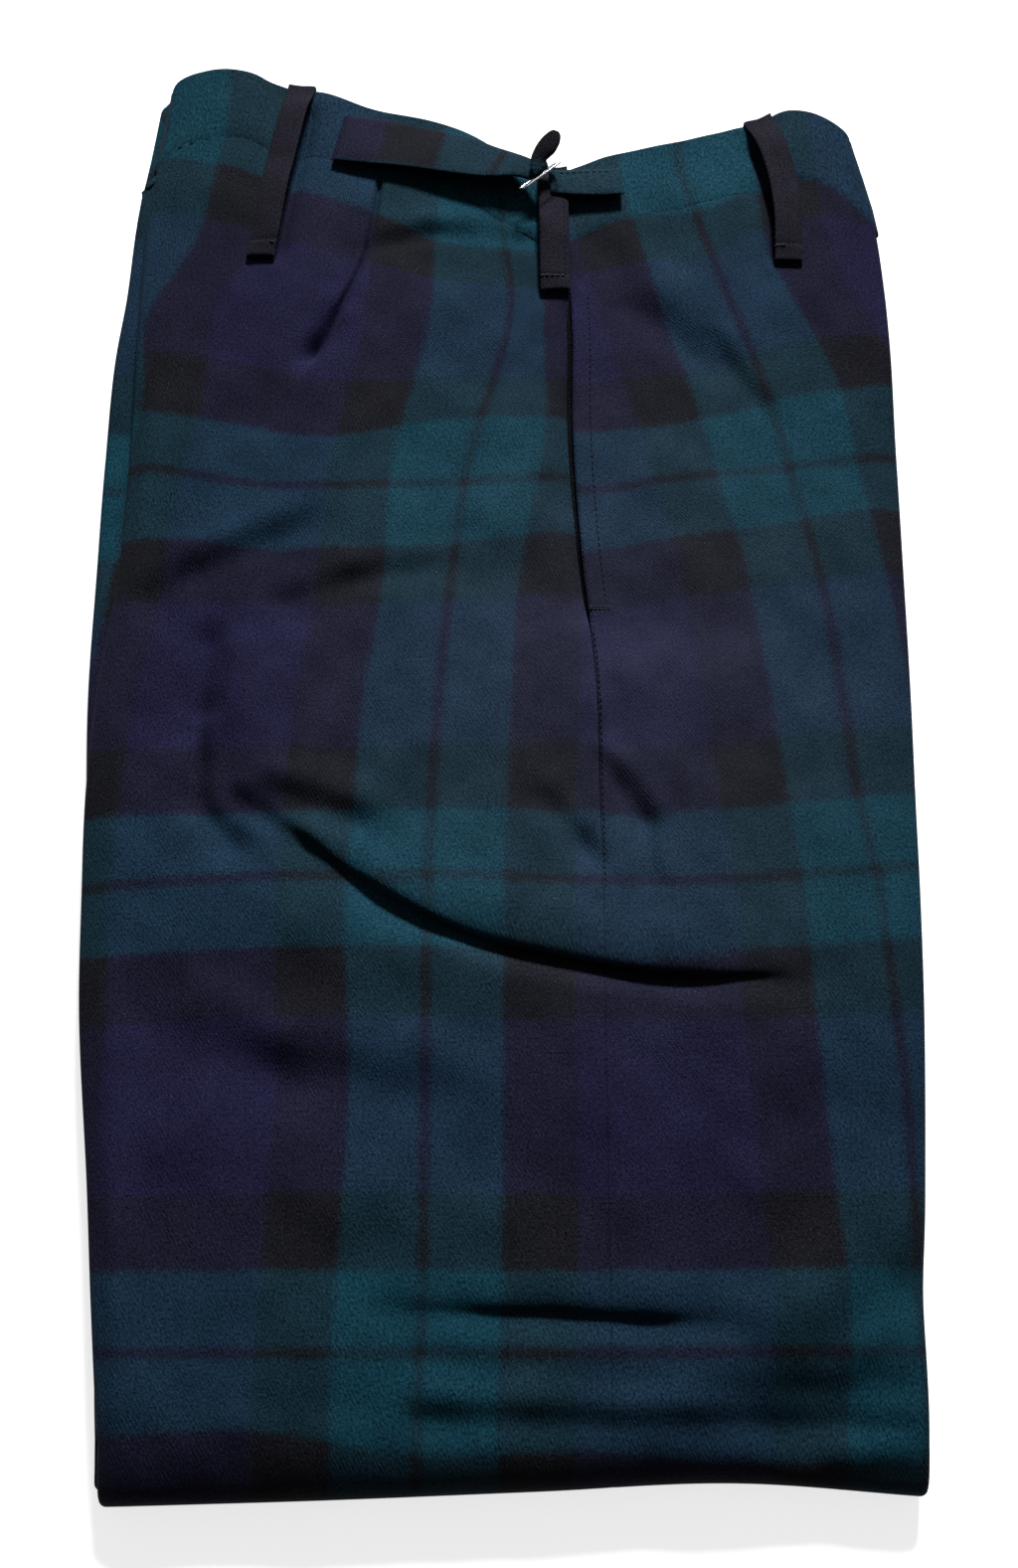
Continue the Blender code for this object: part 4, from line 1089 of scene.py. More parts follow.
def waistband_left():
    """The left half, inside the right half's turned ends."""
    rows = [under_band_row(share) for share in UNDER_BAND_ROWS]
    points, weaves = (np.concatenate(parts) for parts in zip(*rows))
    obj = closed_strip("waistband_left_cloth", points, weaves, tartan())
    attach(obj, "root")
    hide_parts("waistband_left")


STRIP_SIDES = np.radians(np.linspace(0, 360, 25)[:-1])


def strip_section(width, wall):
    """Offsets across and up, round a strip's rounded cross-section."""
    across = np.sign(np.cos(STRIP_SIDES)) * abs(np.cos(STRIP_SIDES)) ** 0.5
    up = np.sign(np.sin(STRIP_SIDES)) * abs(np.sin(STRIP_SIDES)) ** 0.8
    return across * width / 2, up * wall / 2


def strip_rings(rows):
    """Rings round a strip that follows its table of places, rises and turns."""
    last = len(rows) - 1
    places = np.linspace(0, last, last * STRIP_STEPS + 1)
    columns = {name: along([(i, row[k]) for i, row in enumerate(rows)], places)
               for k, name in enumerate(STRIP_COLUMNS)}
    heading, pitch, roll = (np.radians(columns[name]) for name in ("heading", "pitch", "roll"))
    forward = np.stack([np.cos(heading) * np.cos(pitch), np.sin(heading) * np.cos(pitch), np.sin(pitch)], -1)
    flat = np.stack([-np.sin(heading), np.cos(heading), 0 * heading], -1)
    across = flat * np.cos(roll)[:, None] + np.cross(forward, flat) * np.sin(roll)[:, None]
    raised = np.cross(forward, across)
    centre = np.stack([columns["x"], columns["y"], columns["rise"]], -1)
    ends = np.minimum(np.arange(len(places)), np.arange(len(places))[::-1])
    full = np.where(ends == 0, STRAP_END, 1.0)
    out_x, out_z = strip_section(1.0, STRAP_WALL)
    rings = centre[:, None] + across[:, None] * (out_x[None, :] * columns["width"][:, None])[..., None]
    rings = rings + raised[:, None] * (out_z[None, :] * full[:, None])[..., None]
    free = resting_level(*BUCKLE_PLACE)
    level = resting_level(rings[..., 0], rings[..., 1])
    rings[..., 2] += free + columns["follows"][:, None] * (level - free)
    length = np.concatenate([[0], np.cumsum(np.linalg.norm(np.diff(centre, axis=0), axis=1))])
    return rings, out_x[None, :] * columns["width"][:, None], length[:, None] + 0 * out_x[None, :]


def adjuster():
    """The strap and its tail, and the tab that holds the buckle."""
    rings, across, length = strip_rings(STRAP)
    weaves = np.stack([STRAP_WEAVE[0] + length, STRAP_WEAVE[1] + across], -1)
    strap = closed_strip("adjuster_strap_cloth", rings, weaves, tartan())
    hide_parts("adjuster_strap")
    rings, across, length = strip_rings(TAB)
    weaves = np.stack([TAB_WEAVE[0] + length * TAB_WEAVE_STEP, TAB_WEAVE[1] + across], -1)
    tab = closed_strip("adjuster_tab_cloth", rings, weaves, tartan())
    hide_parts("adjuster_tab")
    for piece in (strap, tab):
        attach(piece, "root")


def arch(share):
    """0 at a loop's foot and top and 1 in its middle."""
    return smooth((share - 0.1) / 0.35) * smooth((1.0 - share) / 0.3)


def loop_shares(foot):
    """Places of the rings along a loop, close together at its end and where its foot stops."""
    return np.concatenate([LOOP_END_SHARES, np.linspace(0.028, foot - 0.012, 6),
                           [foot - 0.004, foot, foot + 0.006, foot + 0.015, foot + 0.03],
                           np.linspace(foot + 0.06, 1.0, 30)])


def loop_thickness(share, foot):
    """The loop's thickness: two layers more at its turned foot, and pressed thin at the top."""
    rise = LOOP_FOOT_RISE * (1 - smooth((share - foot + 0.004) / 0.02))
    rise = rise - LOOP_FOOT_CREASE * bell(share - foot - 0.004, 0.008)
    return LOOP_WALL + rise + (LOOP_TOP_WALL - LOOP_WALL) * smooth((share - LOOP_TOP) / (1.0 - LOOP_TOP))


def loop_over_edge(ring, up):
    """The last rings of a loop, over the waistband's top edge and down behind it."""
    radius = LIE_GAP * 0.3 + up
    bent = []
    for angle, drop, _ in LOOP_OVER_EDGE:
        turn = math.radians(angle)
        fall = radius * (1 - math.cos(turn)) + drop
        bent.append(ring + np.stack([0 * radius, radius * math.sin(turn), -fall], -1))
    return np.array(bent)


def loop_rings(loop):
    """Rings round a belt loop, from its thick turned foot up and over the waistband's edge."""
    run = waist_top(loop["x_top"]) - loop["y_foot"]
    foot = LOOP_FOOT / run
    share = loop_shares(foot)
    out_x, out_z = strip_section(LOOP_WIDTH, LOOP_WALL)
    lean = math.atan2(loop["x_top"] - loop["x_foot"], run)
    x = loop_middle(loop, share)[:, None] + out_x[None, :] * math.cos(lean)
    y = loop["y_foot"] + share[:, None] * (waist_top(x) - loop["y_foot"])
    y = y - (1 - share[:, None]) * out_x[None, :] * math.sin(lean)
    thick = loop_thickness(share, foot)[:, None]
    full = np.interp(share, LOOP_END_SHARES, LOOP_END_SIZES)
    up = thick / 2 + out_z[None, :] / LOOP_WALL * thick * full[:, None]
    off_cloth = LIE_GAP * (1 - 0.7 * smooth((share - LOOP_TOP) / (1.0 - LOOP_TOP))) + LOOP_ARCH * arch(share)
    level = resting_level(x, y) + off_cloth[:, None]
    tipped = loop["tip"] * (out_x / LOOP_WIDTH + 0.5 * np.sign(loop["tip"]))[None, :]
    level = level + tipped * smooth(share / 0.12)[:, None] * smooth((1.0 - share) / 0.15)[:, None]
    rings = np.stack([x, y, level + up], -1)
    rings = np.concatenate([rings, loop_over_edge(rings[-1], up[-1])])
    length = np.concatenate([share * run, run + np.array([row[2] for row in LOOP_OVER_EDGE])])
    return rings, np.broadcast_to(out_x, rings.shape[:2]), np.broadcast_to(length[:, None], rings.shape[:2])


def belt_loops():
    for loop in LOOP_ROWS:
        rings, across, length = loop_rings(loop)
        obj = closed_strip(loop["name"] + "_cloth", rings, np.stack([across, length], -1), loop_wool())
        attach(obj, "root")
        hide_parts(loop["name"])


def stitch_points(start, end, length):
    """Rings of points round one stitch, thin and low where its two ends go into the cloth."""
    forward = (end - start) / np.linalg.norm(end - start)
    across = np.cross(forward, (0, 0, 1.0))
    across = across / np.linalg.norm(across)
    up = np.cross(across, forward)
    angles = np.radians(np.arange(0, 360, 360 / STITCH_SIDES))[:, None]
    ring = STITCH_RADIUS * (across * np.cos(angles) + up * np.sin(angles))
    middle = (start + end) / 2
    return np.concatenate([middle + forward * place * length - up * low + ring * size
                           for place, size, low in STITCH_SHAPE])


def stitch_faces(first):
    """Faces round one stitch, whose points start at an index, with both ends closed."""
    faces, sides = [], STITCH_SIDES
    for k in range(len(STITCH_SHAPE) - 1):
        low = first + sides * k
        faces += [(low + i, low + (i + 1) % sides, low + sides + (i + 1) % sides, low + sides + i)
                  for i in range(sides)]
    last = first + sides * (len(STITCH_SHAPE) - 1)
    return faces + [tuple(range(first + sides - 1, first - 1, -1)), tuple(range(last, last + sides))]


def stitches(name, paths, length, gap, material):
    """Rows of short thread stitches along paths of surface points, joined as one piece."""
    verts, faces = [], []
    for path in paths:
        path = np.asarray(path, dtype=float)
        far = np.concatenate([[0], np.cumsum(np.linalg.norm(np.diff(path, axis=0), axis=1))])
        for start in np.arange(gap / 2, far[-1] - length, length + gap):
            ends = [np.array([np.interp(place, far, path[:, k]) for k in range(3)])
                    for place in (start, start + length)]
            faces += stitch_faces(len(verts))
            verts += list(stitch_points(*ends, length))
    data = bpy.data.meshes.new(name)
    data.from_pydata(to_metres(np.array(verts)), [], faces)
    obj = new_object(name, data, material)
    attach(obj, "root")


def on_surface(points, lift):
    """Surface points above (x, y) places, lifted a little."""
    x, y = np.array(points, dtype=float).T
    return np.stack([x, y, height(x, y) + lift], -1)


def beside_seam(start, end, count, place):
    """A line of places beside the side seam, at a distance from it and lifted a little."""
    beside, lift = place
    y = np.linspace(start, end, count)
    return on_surface(np.stack([section("seam", y) + beside, y], -1), lift)


def loop_face(loop):
    """The upper side of a loop: its rings from the foot on, each from left to right."""
    rings = loop_rings(loop)[0]
    face = rings[:, np.argsort(-rings[len(rings) // 2, :, 2])[:LOOP_FACE_COLUMNS]]
    return face[:, np.argsort(face[len(face) // 2, :, 0])]


def loop_side(face, column):
    """The line of stitches just inside one long edge of a loop, above its foot."""
    above_foot = face[LOOP_FOOT_RINGS:-len(LOOP_OVER_EDGE)]
    inward = above_foot[:, LOOP_FACE_COLUMNS // 2] - above_foot[:, column]
    inward = inward / np.linalg.norm(inward, axis=1)[:, None]
    return above_foot[:, column] + inward * 0.2 - np.array([0, 0, 0.05])


def sewing():
    """Stitching along the pocket, side seam and tab, and along and across the belt loops."""
    thread, pale_thread = thread_material(), loop_thread_material()
    pocket = beside_seam(POCKET[0] + 5, POCKET[1] - 2, 80, POCKET_STITCHES)
    seam = beside_seam(OPEN_SEAM[0], POCKET[0] - 6, 60, SEAM_STITCHES)
    stitches("pocket_stitching", [pocket, seam], 1.7, 0.9, thread)
    x = np.linspace(*TACK_X, 12)
    tack = on_surface(np.stack([x, TACK_Y + 0 * x], -1), 0.15)
    tack_rows = [tack, tack - np.array([0, TACK_ROWS, 0])]
    stitches("pocket_tack", tack_rows, 1.5, 0.25, pale_thread)
    tab_line = strip_rings(TAB)[0][4:-4, 4] + np.array([0, -0.6, 0.25])
    stitches("tab_stitching", [tab_line], 1.8, 1.0, thread)
    faces = [loop_face(loop) for loop in LOOP_ROWS]
    sides = [loop_side(face, column) for face in faces for column in (0, -1)]
    stitches("loop_stitching", sides, 1.7, 0.8, thread)
    feet = [face[LOOP_FOOT_RINGS - 1] + np.array([0, 0, 0.3]) for face in faces]
    stitches("loop_foot_stitching", feet, 1.7, 0.5, pale_thread)


def buckle():
    """A wire frame of bright steel with its middle bar, tipped up between strap and tab."""
    bpy.ops.object.select_all(action="DESELECT")
    bpy.ops.mesh.primitive_plane_add(size=1.0)
    obj = bpy.context.object
    obj.name = obj.data.name = "adjuster_buckle_frame"
    obj.scale = (2 * BUCKLE_HALF_LENGTH, 2 * BUCKLE_HALF_HEIGHT, 1.0)
    bpy.ops.object.transform_apply(location=False, rotation=False, scale=True)
    bpy.ops.object.mode_set(mode="EDIT")
    bpy.ops.mesh.select_all(action="SELECT")
    bpy.ops.mesh.bevel(offset=BUCKLE_CORNER, segments=5, affect="VERTICES")
    bpy.ops.mesh.delete(type="ONLY_FACE")
    bpy.ops.object.mode_set(mode="OBJECT")
    bpy.ops.object.convert(target="CURVE")
    obj.data.bevel_depth = BUCKLE_WIRE
    obj.data.bevel_resolution = 4
    bpy.ops.object.convert(target="MESH")
    bpy.ops.mesh.primitive_cylinder_add(vertices=16, radius=BUCKLE_WIRE * 0.85, depth=2 * BUCKLE_HALF_LENGTH,
                                        location=(0, BUCKLE_HALF_HEIGHT * 0.25, 0),
                                        rotation=(0, math.radians(90), 0))
    obj.select_set(True)
    bpy.context.view_layer.objects.active = obj
    bpy.ops.object.join()
    data = obj.data
    data.transform(Matrix.Rotation(math.radians(-BUCKLE_TILT), 4, "X"))
    data.transform(Matrix.Rotation(math.radians(BUCKLE_HEADING), 4, "Z"))
    x, y, rise = BUCKLE_MIDDLE
    middle = (x, y, float(resting_level(*BUCKLE_PLACE)) + rise)
    flat = np.empty(len(data.vertices) * 3)
    data.vertices.foreach_get("co", flat)
    data.vertices.foreach_set("co", to_metres(flat.reshape(-1, 3) + np.array(middle)).ravel())
    data.materials.append(steel())
    data.shade_smooth()
    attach(obj, "root")
    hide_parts("adjuster_buckle")


def link(tree, source, target):
    tree.links.new(source, target)


def maths(tree, operation, *values):
    """A Math node on sockets or numbers; its output."""
    node = tree.nodes.new("ShaderNodeMath")
    node.operation = operation
    for socket, value in zip(node.inputs, values):
        if isinstance(value, (int, float)):
            socket.default_value = value
        else:
            link(tree, value, socket)
    return node.outputs[0]


def mix_colour(tree, factor, first, second):
    """A Mix node on colours, each a socket or a plain value; its output."""
    node = tree.nodes.new("ShaderNodeMix")
    node.data_type = "RGBA"
    for socket, value in ((node.inputs[0], factor), (node.inputs[6], first), (node.inputs[7], second)):
        if isinstance(value, (int, float, tuple)):
            socket.default_value = value
        else:
            link(tree, value, socket)
    return node.outputs[2]


def noise(tree, vector, scale, detail=2.0, roughness=0.5):
    node = tree.nodes.new("ShaderNodeTexNoise")
    node.inputs["Scale"].default_value = scale
    node.inputs["Detail"].default_value = detail
    node.inputs["Roughness"].default_value = roughness
    link(tree, vector, node.inputs["Vector"])
    return node.outputs["Fac"]


def new_group(name, inputs, outputs):
    """An empty node group with named sockets, and its input and output nodes."""
    group = bpy.data.node_groups.new(name, "ShaderNodeTree")
    for direction, sockets in (("INPUT", inputs), ("OUTPUT", outputs)):
        for socket_name, kind in sockets:
            group.interface.new_socket(socket_name, in_out=direction, socket_type=kind)
    return group, group.nodes.new("NodeGroupInput"), group.nodes.new("NodeGroupOutput")


def wool_group():
    """Twill lines, loose nap, soft mottling and a painted sheen that lightens the cloth towards one place,
    from distances across and along the cloth.
    """
    name = "Napped twill"
    if name in bpy.data.node_groups:
        return bpy.data.node_groups[name]
    settings = bpy.context.scene.trews_cloth
    group, given, result = new_group(
        name, [("Weave", "NodeSocketVector")],
        [("Twill", "NodeSocketFloat"), ("Nap", "NodeSocketFloat"), ("Mottle", "NodeSocketFloat"),
         ("Fuzz and sheen", "NodeSocketFloat"), ("Height", "NodeSocketFloat")])
    vector = given.outputs["Weave"]
    apart = group.nodes.new("ShaderNodeSeparateXYZ")
    link(group, vector, apart.inputs[0])
    spots = {kind: noise(group, vector, *values) for kind, values in WOOL_NOISES.items()}
    nap, mottle = spots["nap"], spots["mottle"]
    across = maths(group, "DIVIDE", apart.outputs[0], settings.wale)
    down = maths(group, "DIVIDE", apart.outputs[1], settings.wale * settings.wale_slope)
    wander = maths(group, "MULTIPLY", spots["wander"], 1.1)
    phase = maths(group, "ADD", maths(group, "ADD", across, down), wander)
    wave = maths(group, "SINE", maths(group, "MULTIPLY", phase, 2 * math.pi))
    depth = maths(group, "MULTIPLY_ADD", spots["worn"], 2.4, -0.95)
    depth = maths(group, "MINIMUM", maths(group, "MAXIMUM", depth, 0.03), 0.5)
    twill = maths(group, "MULTIPLY_ADD", wave, depth, 0.5)
    rise = maths(group, "ADD", maths(group, "MULTIPLY", twill, 0.35), maths(group, "MULTIPLY", nap, 0.9))
    fuzz_and_sheen = maths(group, "MAXIMUM", maths(group, "MULTIPLY_ADD", spots["fibres"], 6.0, -3.7), 0.0)
    brushed = maths(group, "MULTIPLY_ADD", mottle, 1.6, -0.3)
    # Painted sheen: a grey veil, strongest at one place of the cloth and fading over its reach, stands in for
    # light on the middle of the trews.
    away = group.nodes.new("ShaderNodeVectorMath")
    away.operation = "DISTANCE"
    link(group, vector, away.inputs[0])
    away.inputs[1].default_value = (*PAINTED_SHEEN_MIDDLE, 0.0)
    raised = maths(group, "MULTIPLY_ADD", away.outputs["Value"], -1 / PAINTED_SHEEN_REACH, 1.0)
    raised = maths(group, "MAXIMUM", raised, 0.0)
    painted_sheen = maths(group, "MULTIPLY", maths(group, "MULTIPLY", raised, mottle), PAINTED_SHEEN_STRENGTH)
    fuzz_and_sheen = maths(group, "MINIMUM", maths(group, "MULTIPLY_ADD", fuzz_and_sheen, brushed, painted_sheen), 0.8)
    made = {"Twill": twill, "Nap": nap, "Mottle": mottle, "Fuzz and sheen": fuzz_and_sheen, "Height": rise}
    for socket, value in made.items():
        link(group, value, result.inputs[socket])
    return group


def stripes(tree, coordinate, settings, colours):
    """The colour of one set of threads, from the distance across them."""
    share = maths(tree, "FRACT", maths(tree, "DIVIDE", coordinate, 2 * settings.check_step))
    ramp = tree.nodes.new("ShaderNodeValToRGB")
    ramp.color_ramp.interpolation = "CONSTANT"
    elements = ramp.color_ramp.elements
    elements.remove(elements[1])
    thread = 0
    for i, (shade, count) in enumerate(SETT):
        element = elements[0] if i == 0 else elements.new(thread / SETT_THREADS)
        element.position = thread / SETT_THREADS
        element.color = CODES[shade]
        thread += count
    link(tree, share, ramp.inputs["Fac"])
    codes = tree.nodes.new("ShaderNodeSeparateColor")
    link(tree, ramp.outputs["Color"], codes.inputs[0])
    colour = mix_colour(tree, codes.outputs[0], colours["Black"], colours["Green"])
    return mix_colour(tree, codes.outputs[1], colour, colours["Blue"])


def check_group():
    """The tartan: green, black and blue threads in the same order across and along."""
    name = "Tartan check"
    if name in bpy.data.node_groups:
        return bpy.data.node_groups[name]
    settings = bpy.context.scene.trews_cloth
    group, given, result = new_group(
        name, [("Weave", "NodeSocketVector"), ("Twill", "NodeSocketFloat"), ("Green", "NodeSocketColor"),
               ("Blue", "NodeSocketColor"), ("Black", "NodeSocketColor")],
        [("Color", "NodeSocketColor")])
    colours = {shade: given.outputs[shade] for shade in ("Green", "Blue", "Black")}
    apart = group.nodes.new("ShaderNodeSeparateXYZ")
    link(group, given.outputs["Weave"], apart.inputs[0])
    fine = maths(group, "SUBTRACT", noise(group, given.outputs["Weave"], 2600.0, 1.0), 0.5)
    coarse = maths(group, "SUBTRACT", noise(group, given.outputs["Weave"], 420.0), 0.5)
    blur = maths(group, "MULTIPLY", fine, settings.fray)
    fray = maths(group, "MULTIPLY_ADD", coarse, 0.4 * settings.fray, blur)
    fray_across = maths(group, "MULTIPLY_ADD", coarse, -0.4 * settings.fray, blur)
    warp = stripes(group, maths(group, "ADD", apart.outputs[0], fray), settings, colours)
    weft = stripes(group, maths(group, "ADD", apart.outputs[1], fray_across), settings, colours)
    share = maths(group, "MULTIPLY_ADD", given.outputs["Twill"], 0.30, 0.33)
    link(group, mix_colour(group, share, weft, warp), result.inputs["Color"])
    return group


def group_node(tree, group):
    node = tree.nodes.new("ShaderNodeGroup")
    node.node_tree = group
    return node


def wool_material(name, fill):
    """A napped wool: fill gives its base colour from the tree and the twill node."""
    if name in bpy.data.materials:
        return bpy.data.materials[name]
    material = bpy.data.materials.new(name)
    material.use_nodes = True
    tree = material.node_tree
    surface = tree.nodes["Principled BSDF"]
    place = tree.nodes.new("ShaderNodeUVMap")
    place.uv_map = "Weave"
    wool = group_node(tree, wool_group())
    link(tree, place.outputs["UV"], wool.inputs["Weave"])
    colour = fill(tree, place.outputs["UV"], wool)
    shade = maths(tree, "MULTIPLY_ADD", wool.outputs["Nap"], *NAP_SHADE)
    shade = maths(tree, "MAXIMUM", shade, NAP_DARKEST)
    shade = maths(tree, "MULTIPLY", shade, maths(tree, "MULTIPLY_ADD", wool.outputs["Mottle"], *MOTTLE_SHADE))
    shaded = tree.nodes.new("ShaderNodeVectorMath")
    shaded.operation = "SCALE"
    link(tree, colour, shaded.inputs[0])
    link(tree, shade, shaded.inputs["Scale"])
    # The lint colour lightens both the loose fibres and the painted sheen.
    lint_and_sheen = (*bpy.context.scene.trews_cloth.fuzz_and_sheen, 1.0)
    with_fuzz_and_sheen = mix_colour(tree, wool.outputs["Fuzz and sheen"], shaded.outputs[0], lint_and_sheen)
    link(tree, with_fuzz_and_sheen, surface.inputs["Base Color"])
    bump = tree.nodes.new("ShaderNodeBump")
    bump.inputs["Strength"].default_value = 0.7
    bump.inputs["Distance"].default_value = 0.0005
    link(tree, wool.outputs["Height"], bump.inputs["Height"])
    link(tree, bump.outputs["Normal"], surface.inputs["Normal"])
    surface.inputs["Roughness"].default_value = 0.75
    surface.inputs["Specular IOR Level"].default_value = 0.03
    surface.inputs["Specular Tint"].default_value = (0.8, 0.85, 1.0, 1.0)
    surface.inputs["Sheen Weight"].default_value = 0.02
    surface.inputs["Sheen Roughness"].default_value = 0.4
    surface.inputs["Sheen Tint"].default_value = (0.6, 0.68, 0.9, 1.0)
    return material


def tartan():
    def fill(tree, weave_socket, wool):
        settings = bpy.context.scene.trews_cloth
        check = group_node(tree, check_group())
        link(tree, weave_socket, check.inputs["Weave"])
        link(tree, wool.outputs["Twill"], check.inputs["Twill"])
        for shade, colour in (("Green", settings.green), ("Blue", settings.blue), ("Black", settings.black)):
            check.inputs[shade].default_value = (*colour, 1.0)
        return check.outputs["Color"]
    return wool_material("Tartan wool", fill)


def plain_fill(colour):
    def fill(tree, weave_socket, wool):
        light = tuple(min(1.0, 1.5 * value) for value in colour)
        return mix_colour(tree, wool.outputs["Twill"], (*colour, 1.0), (*light, 1.0))
    return fill


def loop_wool():
    return wool_material("Belt loop wool", plain_fill(bpy.context.scene.trews_cloth.loop))


# Near-black cloth for the sheet of painted shade in the pocket mouth.
def pocket_shade_wool():
    return wool_material("Pocket facing wool", plain_fill(bpy.context.scene.trews_cloth.pocket_shade_colour))


def simple_material(name, colour, roughness, metallic=0.0):
    if name in bpy.data.materials:
        return bpy.data.materials[name]
    material = bpy.data.materials.new(name)
    material.use_nodes = True
    surface = material.node_tree.nodes["Principled BSDF"]
    surface.inputs["Base Color"].default_value = (*colour, 1.0)
    surface.inputs["Roughness"].default_value = roughness
    surface.inputs["Metallic"].default_value = metallic
    return material


def thread_wool(name, colour):
    """Twisted sewing thread, lighter and darker along its length."""
    material = simple_material(name, colour, 0.85)
    tree = material.node_tree
    surface = tree.nodes["Principled BSDF"]
    surface.inputs["Specular IOR Level"].default_value = 0.1
    place = tree.nodes.new("ShaderNodeTexCoord")
    twist = noise(tree, place.outputs["Object"], 1800.0, 2.0)
    dark, light = (tuple(share * value for value in colour) + (1.0,) for share in (0.4, 1.7))
    link(tree, mix_colour(tree, twist, dark, light), surface.inputs["Base Color"])
    return material


def thread_material():
    return thread_wool("Dark sewing thread", (0.0035, 0.004, 0.007))


def loop_thread_material():
    return thread_wool("Pale sewing thread", (0.045, 0.047, 0.06))


def steel():
    material = simple_material("Bright buckle steel", (0.8, 0.81, 0.84), 0.22, 1.0)
    tree = material.node_tree
    place = tree.nodes.new("ShaderNodeTexCoord")
    wear = noise(tree, place.outputs["Object"], 900.0, 3.0)
    rough = maths(tree, "MULTIPLY_ADD", wear, 0.25, 0.12)
    link(tree, rough, tree.nodes["Principled BSDF"].inputs["Roughness"])
    return material


class TrewsCloth(bpy.types.PropertyGroup):
    """Sizes and colours of the cloth."""
    check_step: FloatProperty(name="Check step", description="From one green line to the next",
                              default=0.165, unit="LENGTH")
    wale: FloatProperty(name="Wale", description="From one twill line to the next, across the cloth",
                        default=0.00145, unit="LENGTH", precision=5)
    wale_slope: FloatProperty(name="Wale slope", description="Steepness of the twill lines", default=1.7)
    fray: FloatProperty(name="Fray", description="How far the nap blurs the edge of a stripe",
                        default=0.010, unit="LENGTH", precision=5)
    # Colour of the loose fibres, also used for the painted sheen.
    fuzz_and_sheen: FloatVectorProperty(name="Fuzz and sheen", description="Loose fibres, and the painted sheen", subtype="COLOR",
                              default=(0.050, 0.057, 0.082))
    green: FloatVectorProperty(name="Green", description="Green thread", subtype="COLOR",
                               default=(0.0058, 0.038, 0.058))
    blue: FloatVectorProperty(name="Blue", description="Blue thread", subtype="COLOR",
                              default=(0.0118, 0.0110, 0.036))
    black: FloatVectorProperty(name="Black", description="Black thread", subtype="COLOR",
                               default=(0.0082, 0.0084, 0.0112))
    loop: FloatVectorProperty(name="Belt loops", description="Cloth of the belt loops", subtype="COLOR",
                              default=(0.0095, 0.009, 0.014))
    # Near-black colour of the sheet that paints the shade in the pocket mouth.
    pocket_shade_colour: FloatVectorProperty(name="Pocket painted shade", description="Painted shade in the pocket mouth: a near-black sheet",
                                subtype="COLOR", default=(0.0008, 0.0008, 0.0012))


class TrewsStudio(bpy.types.PropertyGroup):
    """Camera and lights."""
    tilt: FloatProperty(name="Tilt", description="Camera's angle from straight down",
                        default=math.radians(20), subtype="ANGLE")
    lens: FloatProperty(name="Lens", description="Focal length in millimetres", default=41.6)
    key: FloatProperty(name="Key light", description="Power of the window light", default=3.5, unit="POWER")
    fill: FloatProperty(name="Fill light", description="Strength of the light from above", default=0.30)
    floor: FloatProperty(name="Floor", description="Light of the floor itself, which softens the shadow",
                         default=0.75)


class TREWS_OT_legs(bpy.types.Operator):
    """Build the right leg's two panels with the sheet of painted shade in their pocket mouth, and the left
    leg in their fold
    """
    bl_idname = "trews.legs"
    bl_label = "Legs"

    def execute(self, context):
        leg_panel("right_back_cloth", -1, "right_back_panel")
        leg_panel("right_front_cloth", 1, "right_front_panel")
        left_leg()
        pocket_shade_sheet()
        return {"FINISHED"}


class TREWS_OT_waistband(bpy.types.Operator):
    """Build both halves of the waistband"""
    bl_idname = "trews.waistband"
    bl_label = "Waistband"

    def execute(self, context):
        waistband_left()
        waistband_right()
        return {"FINISHED"}


class TREWS_OT_belt_loops(bpy.types.Operator):
    """Build the belt loops"""
    bl_idname = "trews.belt_loops"
    bl_label = "Belt loops"

    def execute(self, context):
        belt_loops()
        return {"FINISHED"}


class TREWS_OT_adjuster(bpy.types.Operator):
    """Build the side adjuster's strap and tab"""
    bl_idname = "trews.adjuster"
    bl_label = "Adjuster"

    def execute(self, context):
        adjuster()
        return {"FINISHED"}


class TREWS_OT_buckle(bpy.types.Operator):
    """Build the adjuster's buckle"""
    bl_idname = "trews.buckle"
    bl_label = "Buckle"

    def execute(self, context):
        buckle()
        return {"FINISHED"}


class TREWS_OT_sewing(bpy.types.Operator):
    """Sew the pocket, side seam, tab and belt loops"""
    bl_idname = "trews.sewing"
    bl_label = "Sewing"

    def execute(self, context):
        sewing()
        return {"FINISHED"}


class TREWS_OT_studio(bpy.types.Operator):
    """Build the pale floor, the lights and the camera"""
    bl_idname = "trews.studio"
    bl_label = "Studio"

    def execute(self, context):
        studio(context.scene)
        return {"FINISHED"}


def studio_floor(glow_strength):
    """The pale floor. It glows a little, and the cloth takes no light from it."""
    bpy.ops.object.select_all(action="DESELECT")
    bpy.ops.mesh.primitive_plane_add(size=FLOOR_SIZE, location=(0, 0, 0))
    floor = bpy.context.object
    floor.name = "studio_floor"
    pale = simple_material("Pale floor", (0.86, 0.86, 0.86), 0.9)
    glow = pale.node_tree.nodes["Principled BSDF"]
    glow.inputs["Emission Color"].default_value = (1.0, 1.0, 1.0, 1.0)
    glow.inputs["Emission Strength"].default_value = glow_strength
    floor.data.materials.append(pale)
    floor.visible_diffuse = False


def window_light(scene, power):
    """The narrow light from beyond the waist, which shows up the folds."""
    key_data = bpy.data.lights.new("window_light", "AREA")
    key_data.energy = power
    key_data.size = KEY_SIZE
    key_data.spread = math.radians(KEY_SPREAD)
    key = bpy.data.objects.new("window_light", key_data)
    key.location = KEY_PLACE
    key.rotation_euler = (Vector(KEY_AIM) - Vector(KEY_PLACE)).to_track_quat("-Z", "Y").to_euler()
    scene.collection.objects.link(key)


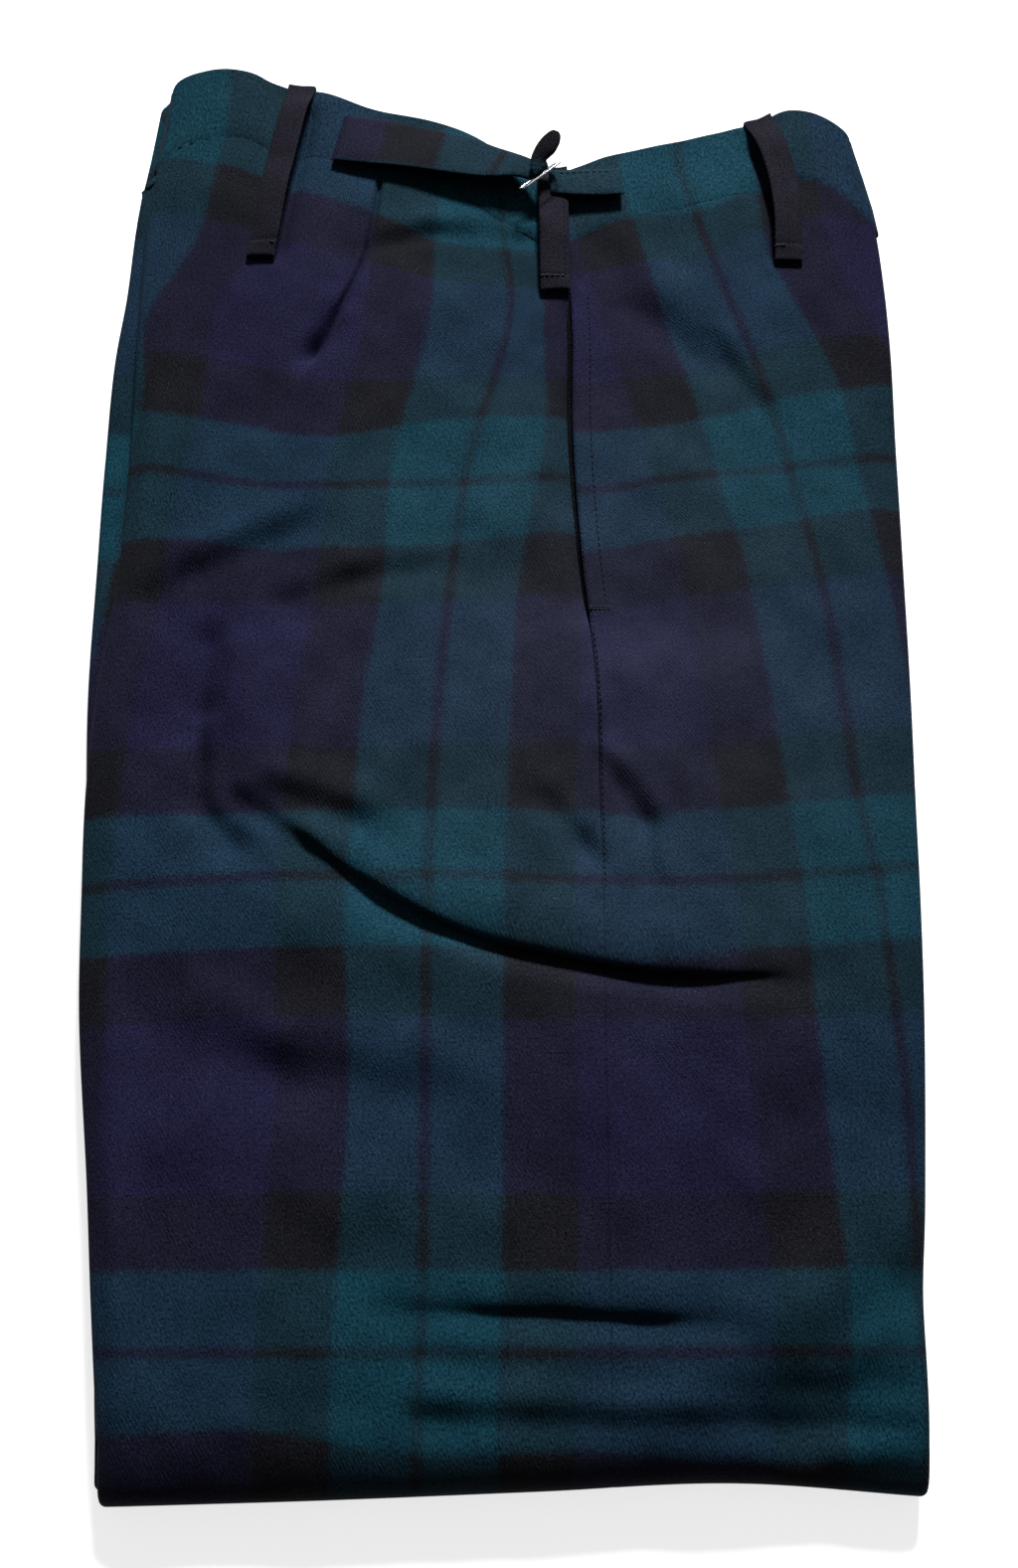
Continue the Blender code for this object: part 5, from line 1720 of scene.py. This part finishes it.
def studio_air(scene, strength):
    """Soft light from above and from beyond the waist. The camera sees a pale backdrop instead."""
    world = bpy.data.worlds.new("studio_air")
    world.use_nodes = True
    tree = world.node_tree
    background = tree.nodes["Background"]
    background.inputs["Strength"].default_value = strength
    place = tree.nodes.new("ShaderNodeTexCoord")
    apart = tree.nodes.new("ShaderNodeSeparateXYZ")
    link(tree, place.outputs["Generated"], apart.inputs[0])
    upward = maths(tree, "MULTIPLY_ADD", apart.outputs[2], *AIR_UPWARD)
    toward = maths(tree, "MULTIPLY_ADD", apart.outputs[1], *AIR_TOWARD)
    light = maths(tree, "MAXIMUM", maths(tree, "MULTIPLY", upward, toward), AIR_LEAST)
    link(tree, light, background.inputs["Color"])
    backdrop = tree.nodes.new("ShaderNodeBackground")
    backdrop.inputs["Color"].default_value = (*PALE, 1.0)
    ray = tree.nodes.new("ShaderNodeLightPath")
    either = tree.nodes.new("ShaderNodeMixShader")
    link(tree, ray.outputs["Is Camera Ray"], either.inputs[0])
    link(tree, background.outputs[0], either.inputs[1])
    link(tree, backdrop.outputs[0], either.inputs[2])
    link(tree, either.outputs[0], tree.nodes["World Output"].inputs["Surface"])
    scene.world = world


def studio_camera(scene, lens, tilt):
    """The camera, straight above the knee fold and tipped towards the waist."""
    camera_data = bpy.data.cameras.new("studio_camera")
    camera_data.lens = lens
    camera = bpy.data.objects.new("studio_camera", camera_data)
    camera.location = to_metres(EYE)
    camera.rotation_euler = (tilt, 0.0, 0.0)
    scene.collection.objects.link(camera)
    scene.camera = camera


def studio(scene):
    settings = scene.trews_studio
    studio_floor(settings.floor)
    window_light(scene, settings.key)
    studio_air(scene, settings.fill)
    studio_camera(scene, settings.lens, settings.tilt)
    scene.view_settings.view_transform = "Standard"


class TREWS_PT_panel(bpy.types.Panel):
    """The trews' pieces, in the order in which they are built"""
    bl_label = "Tartan Trews"
    bl_idname = "TREWS_PT_panel"
    bl_space_type = "VIEW_3D"
    bl_region_type = "UI"
    bl_category = "Trews"

    def draw(self, context):
        for operator in OPERATORS:
            self.layout.operator(operator.bl_idname)


OPERATORS = (TREWS_OT_legs, TREWS_OT_waistband, TREWS_OT_belt_loops, TREWS_OT_adjuster, TREWS_OT_buckle,
             TREWS_OT_sewing, TREWS_OT_studio)
CLASSES = (TrewsCloth, TrewsStudio, *OPERATORS, TREWS_PT_panel)


def register():
    for cls in CLASSES:
        bpy.utils.register_class(cls)
    bpy.types.Scene.trews_cloth = PointerProperty(type=TrewsCloth)
    bpy.types.Scene.trews_studio = PointerProperty(type=TrewsStudio)


def unregister():
    del bpy.types.Scene.trews_studio
    del bpy.types.Scene.trews_cloth
    for cls in reversed(CLASSES):
        bpy.utils.unregister_class(cls)


def main():
    register()
    bpy.ops.trews.legs()
    bpy.ops.trews.waistband()
    bpy.ops.trews.belt_loops()
    bpy.ops.trews.adjuster()
    bpy.ops.trews.buckle()
    bpy.ops.trews.sewing()
    bpy.ops.trews.studio()


if __name__ == "__main__":
    main()
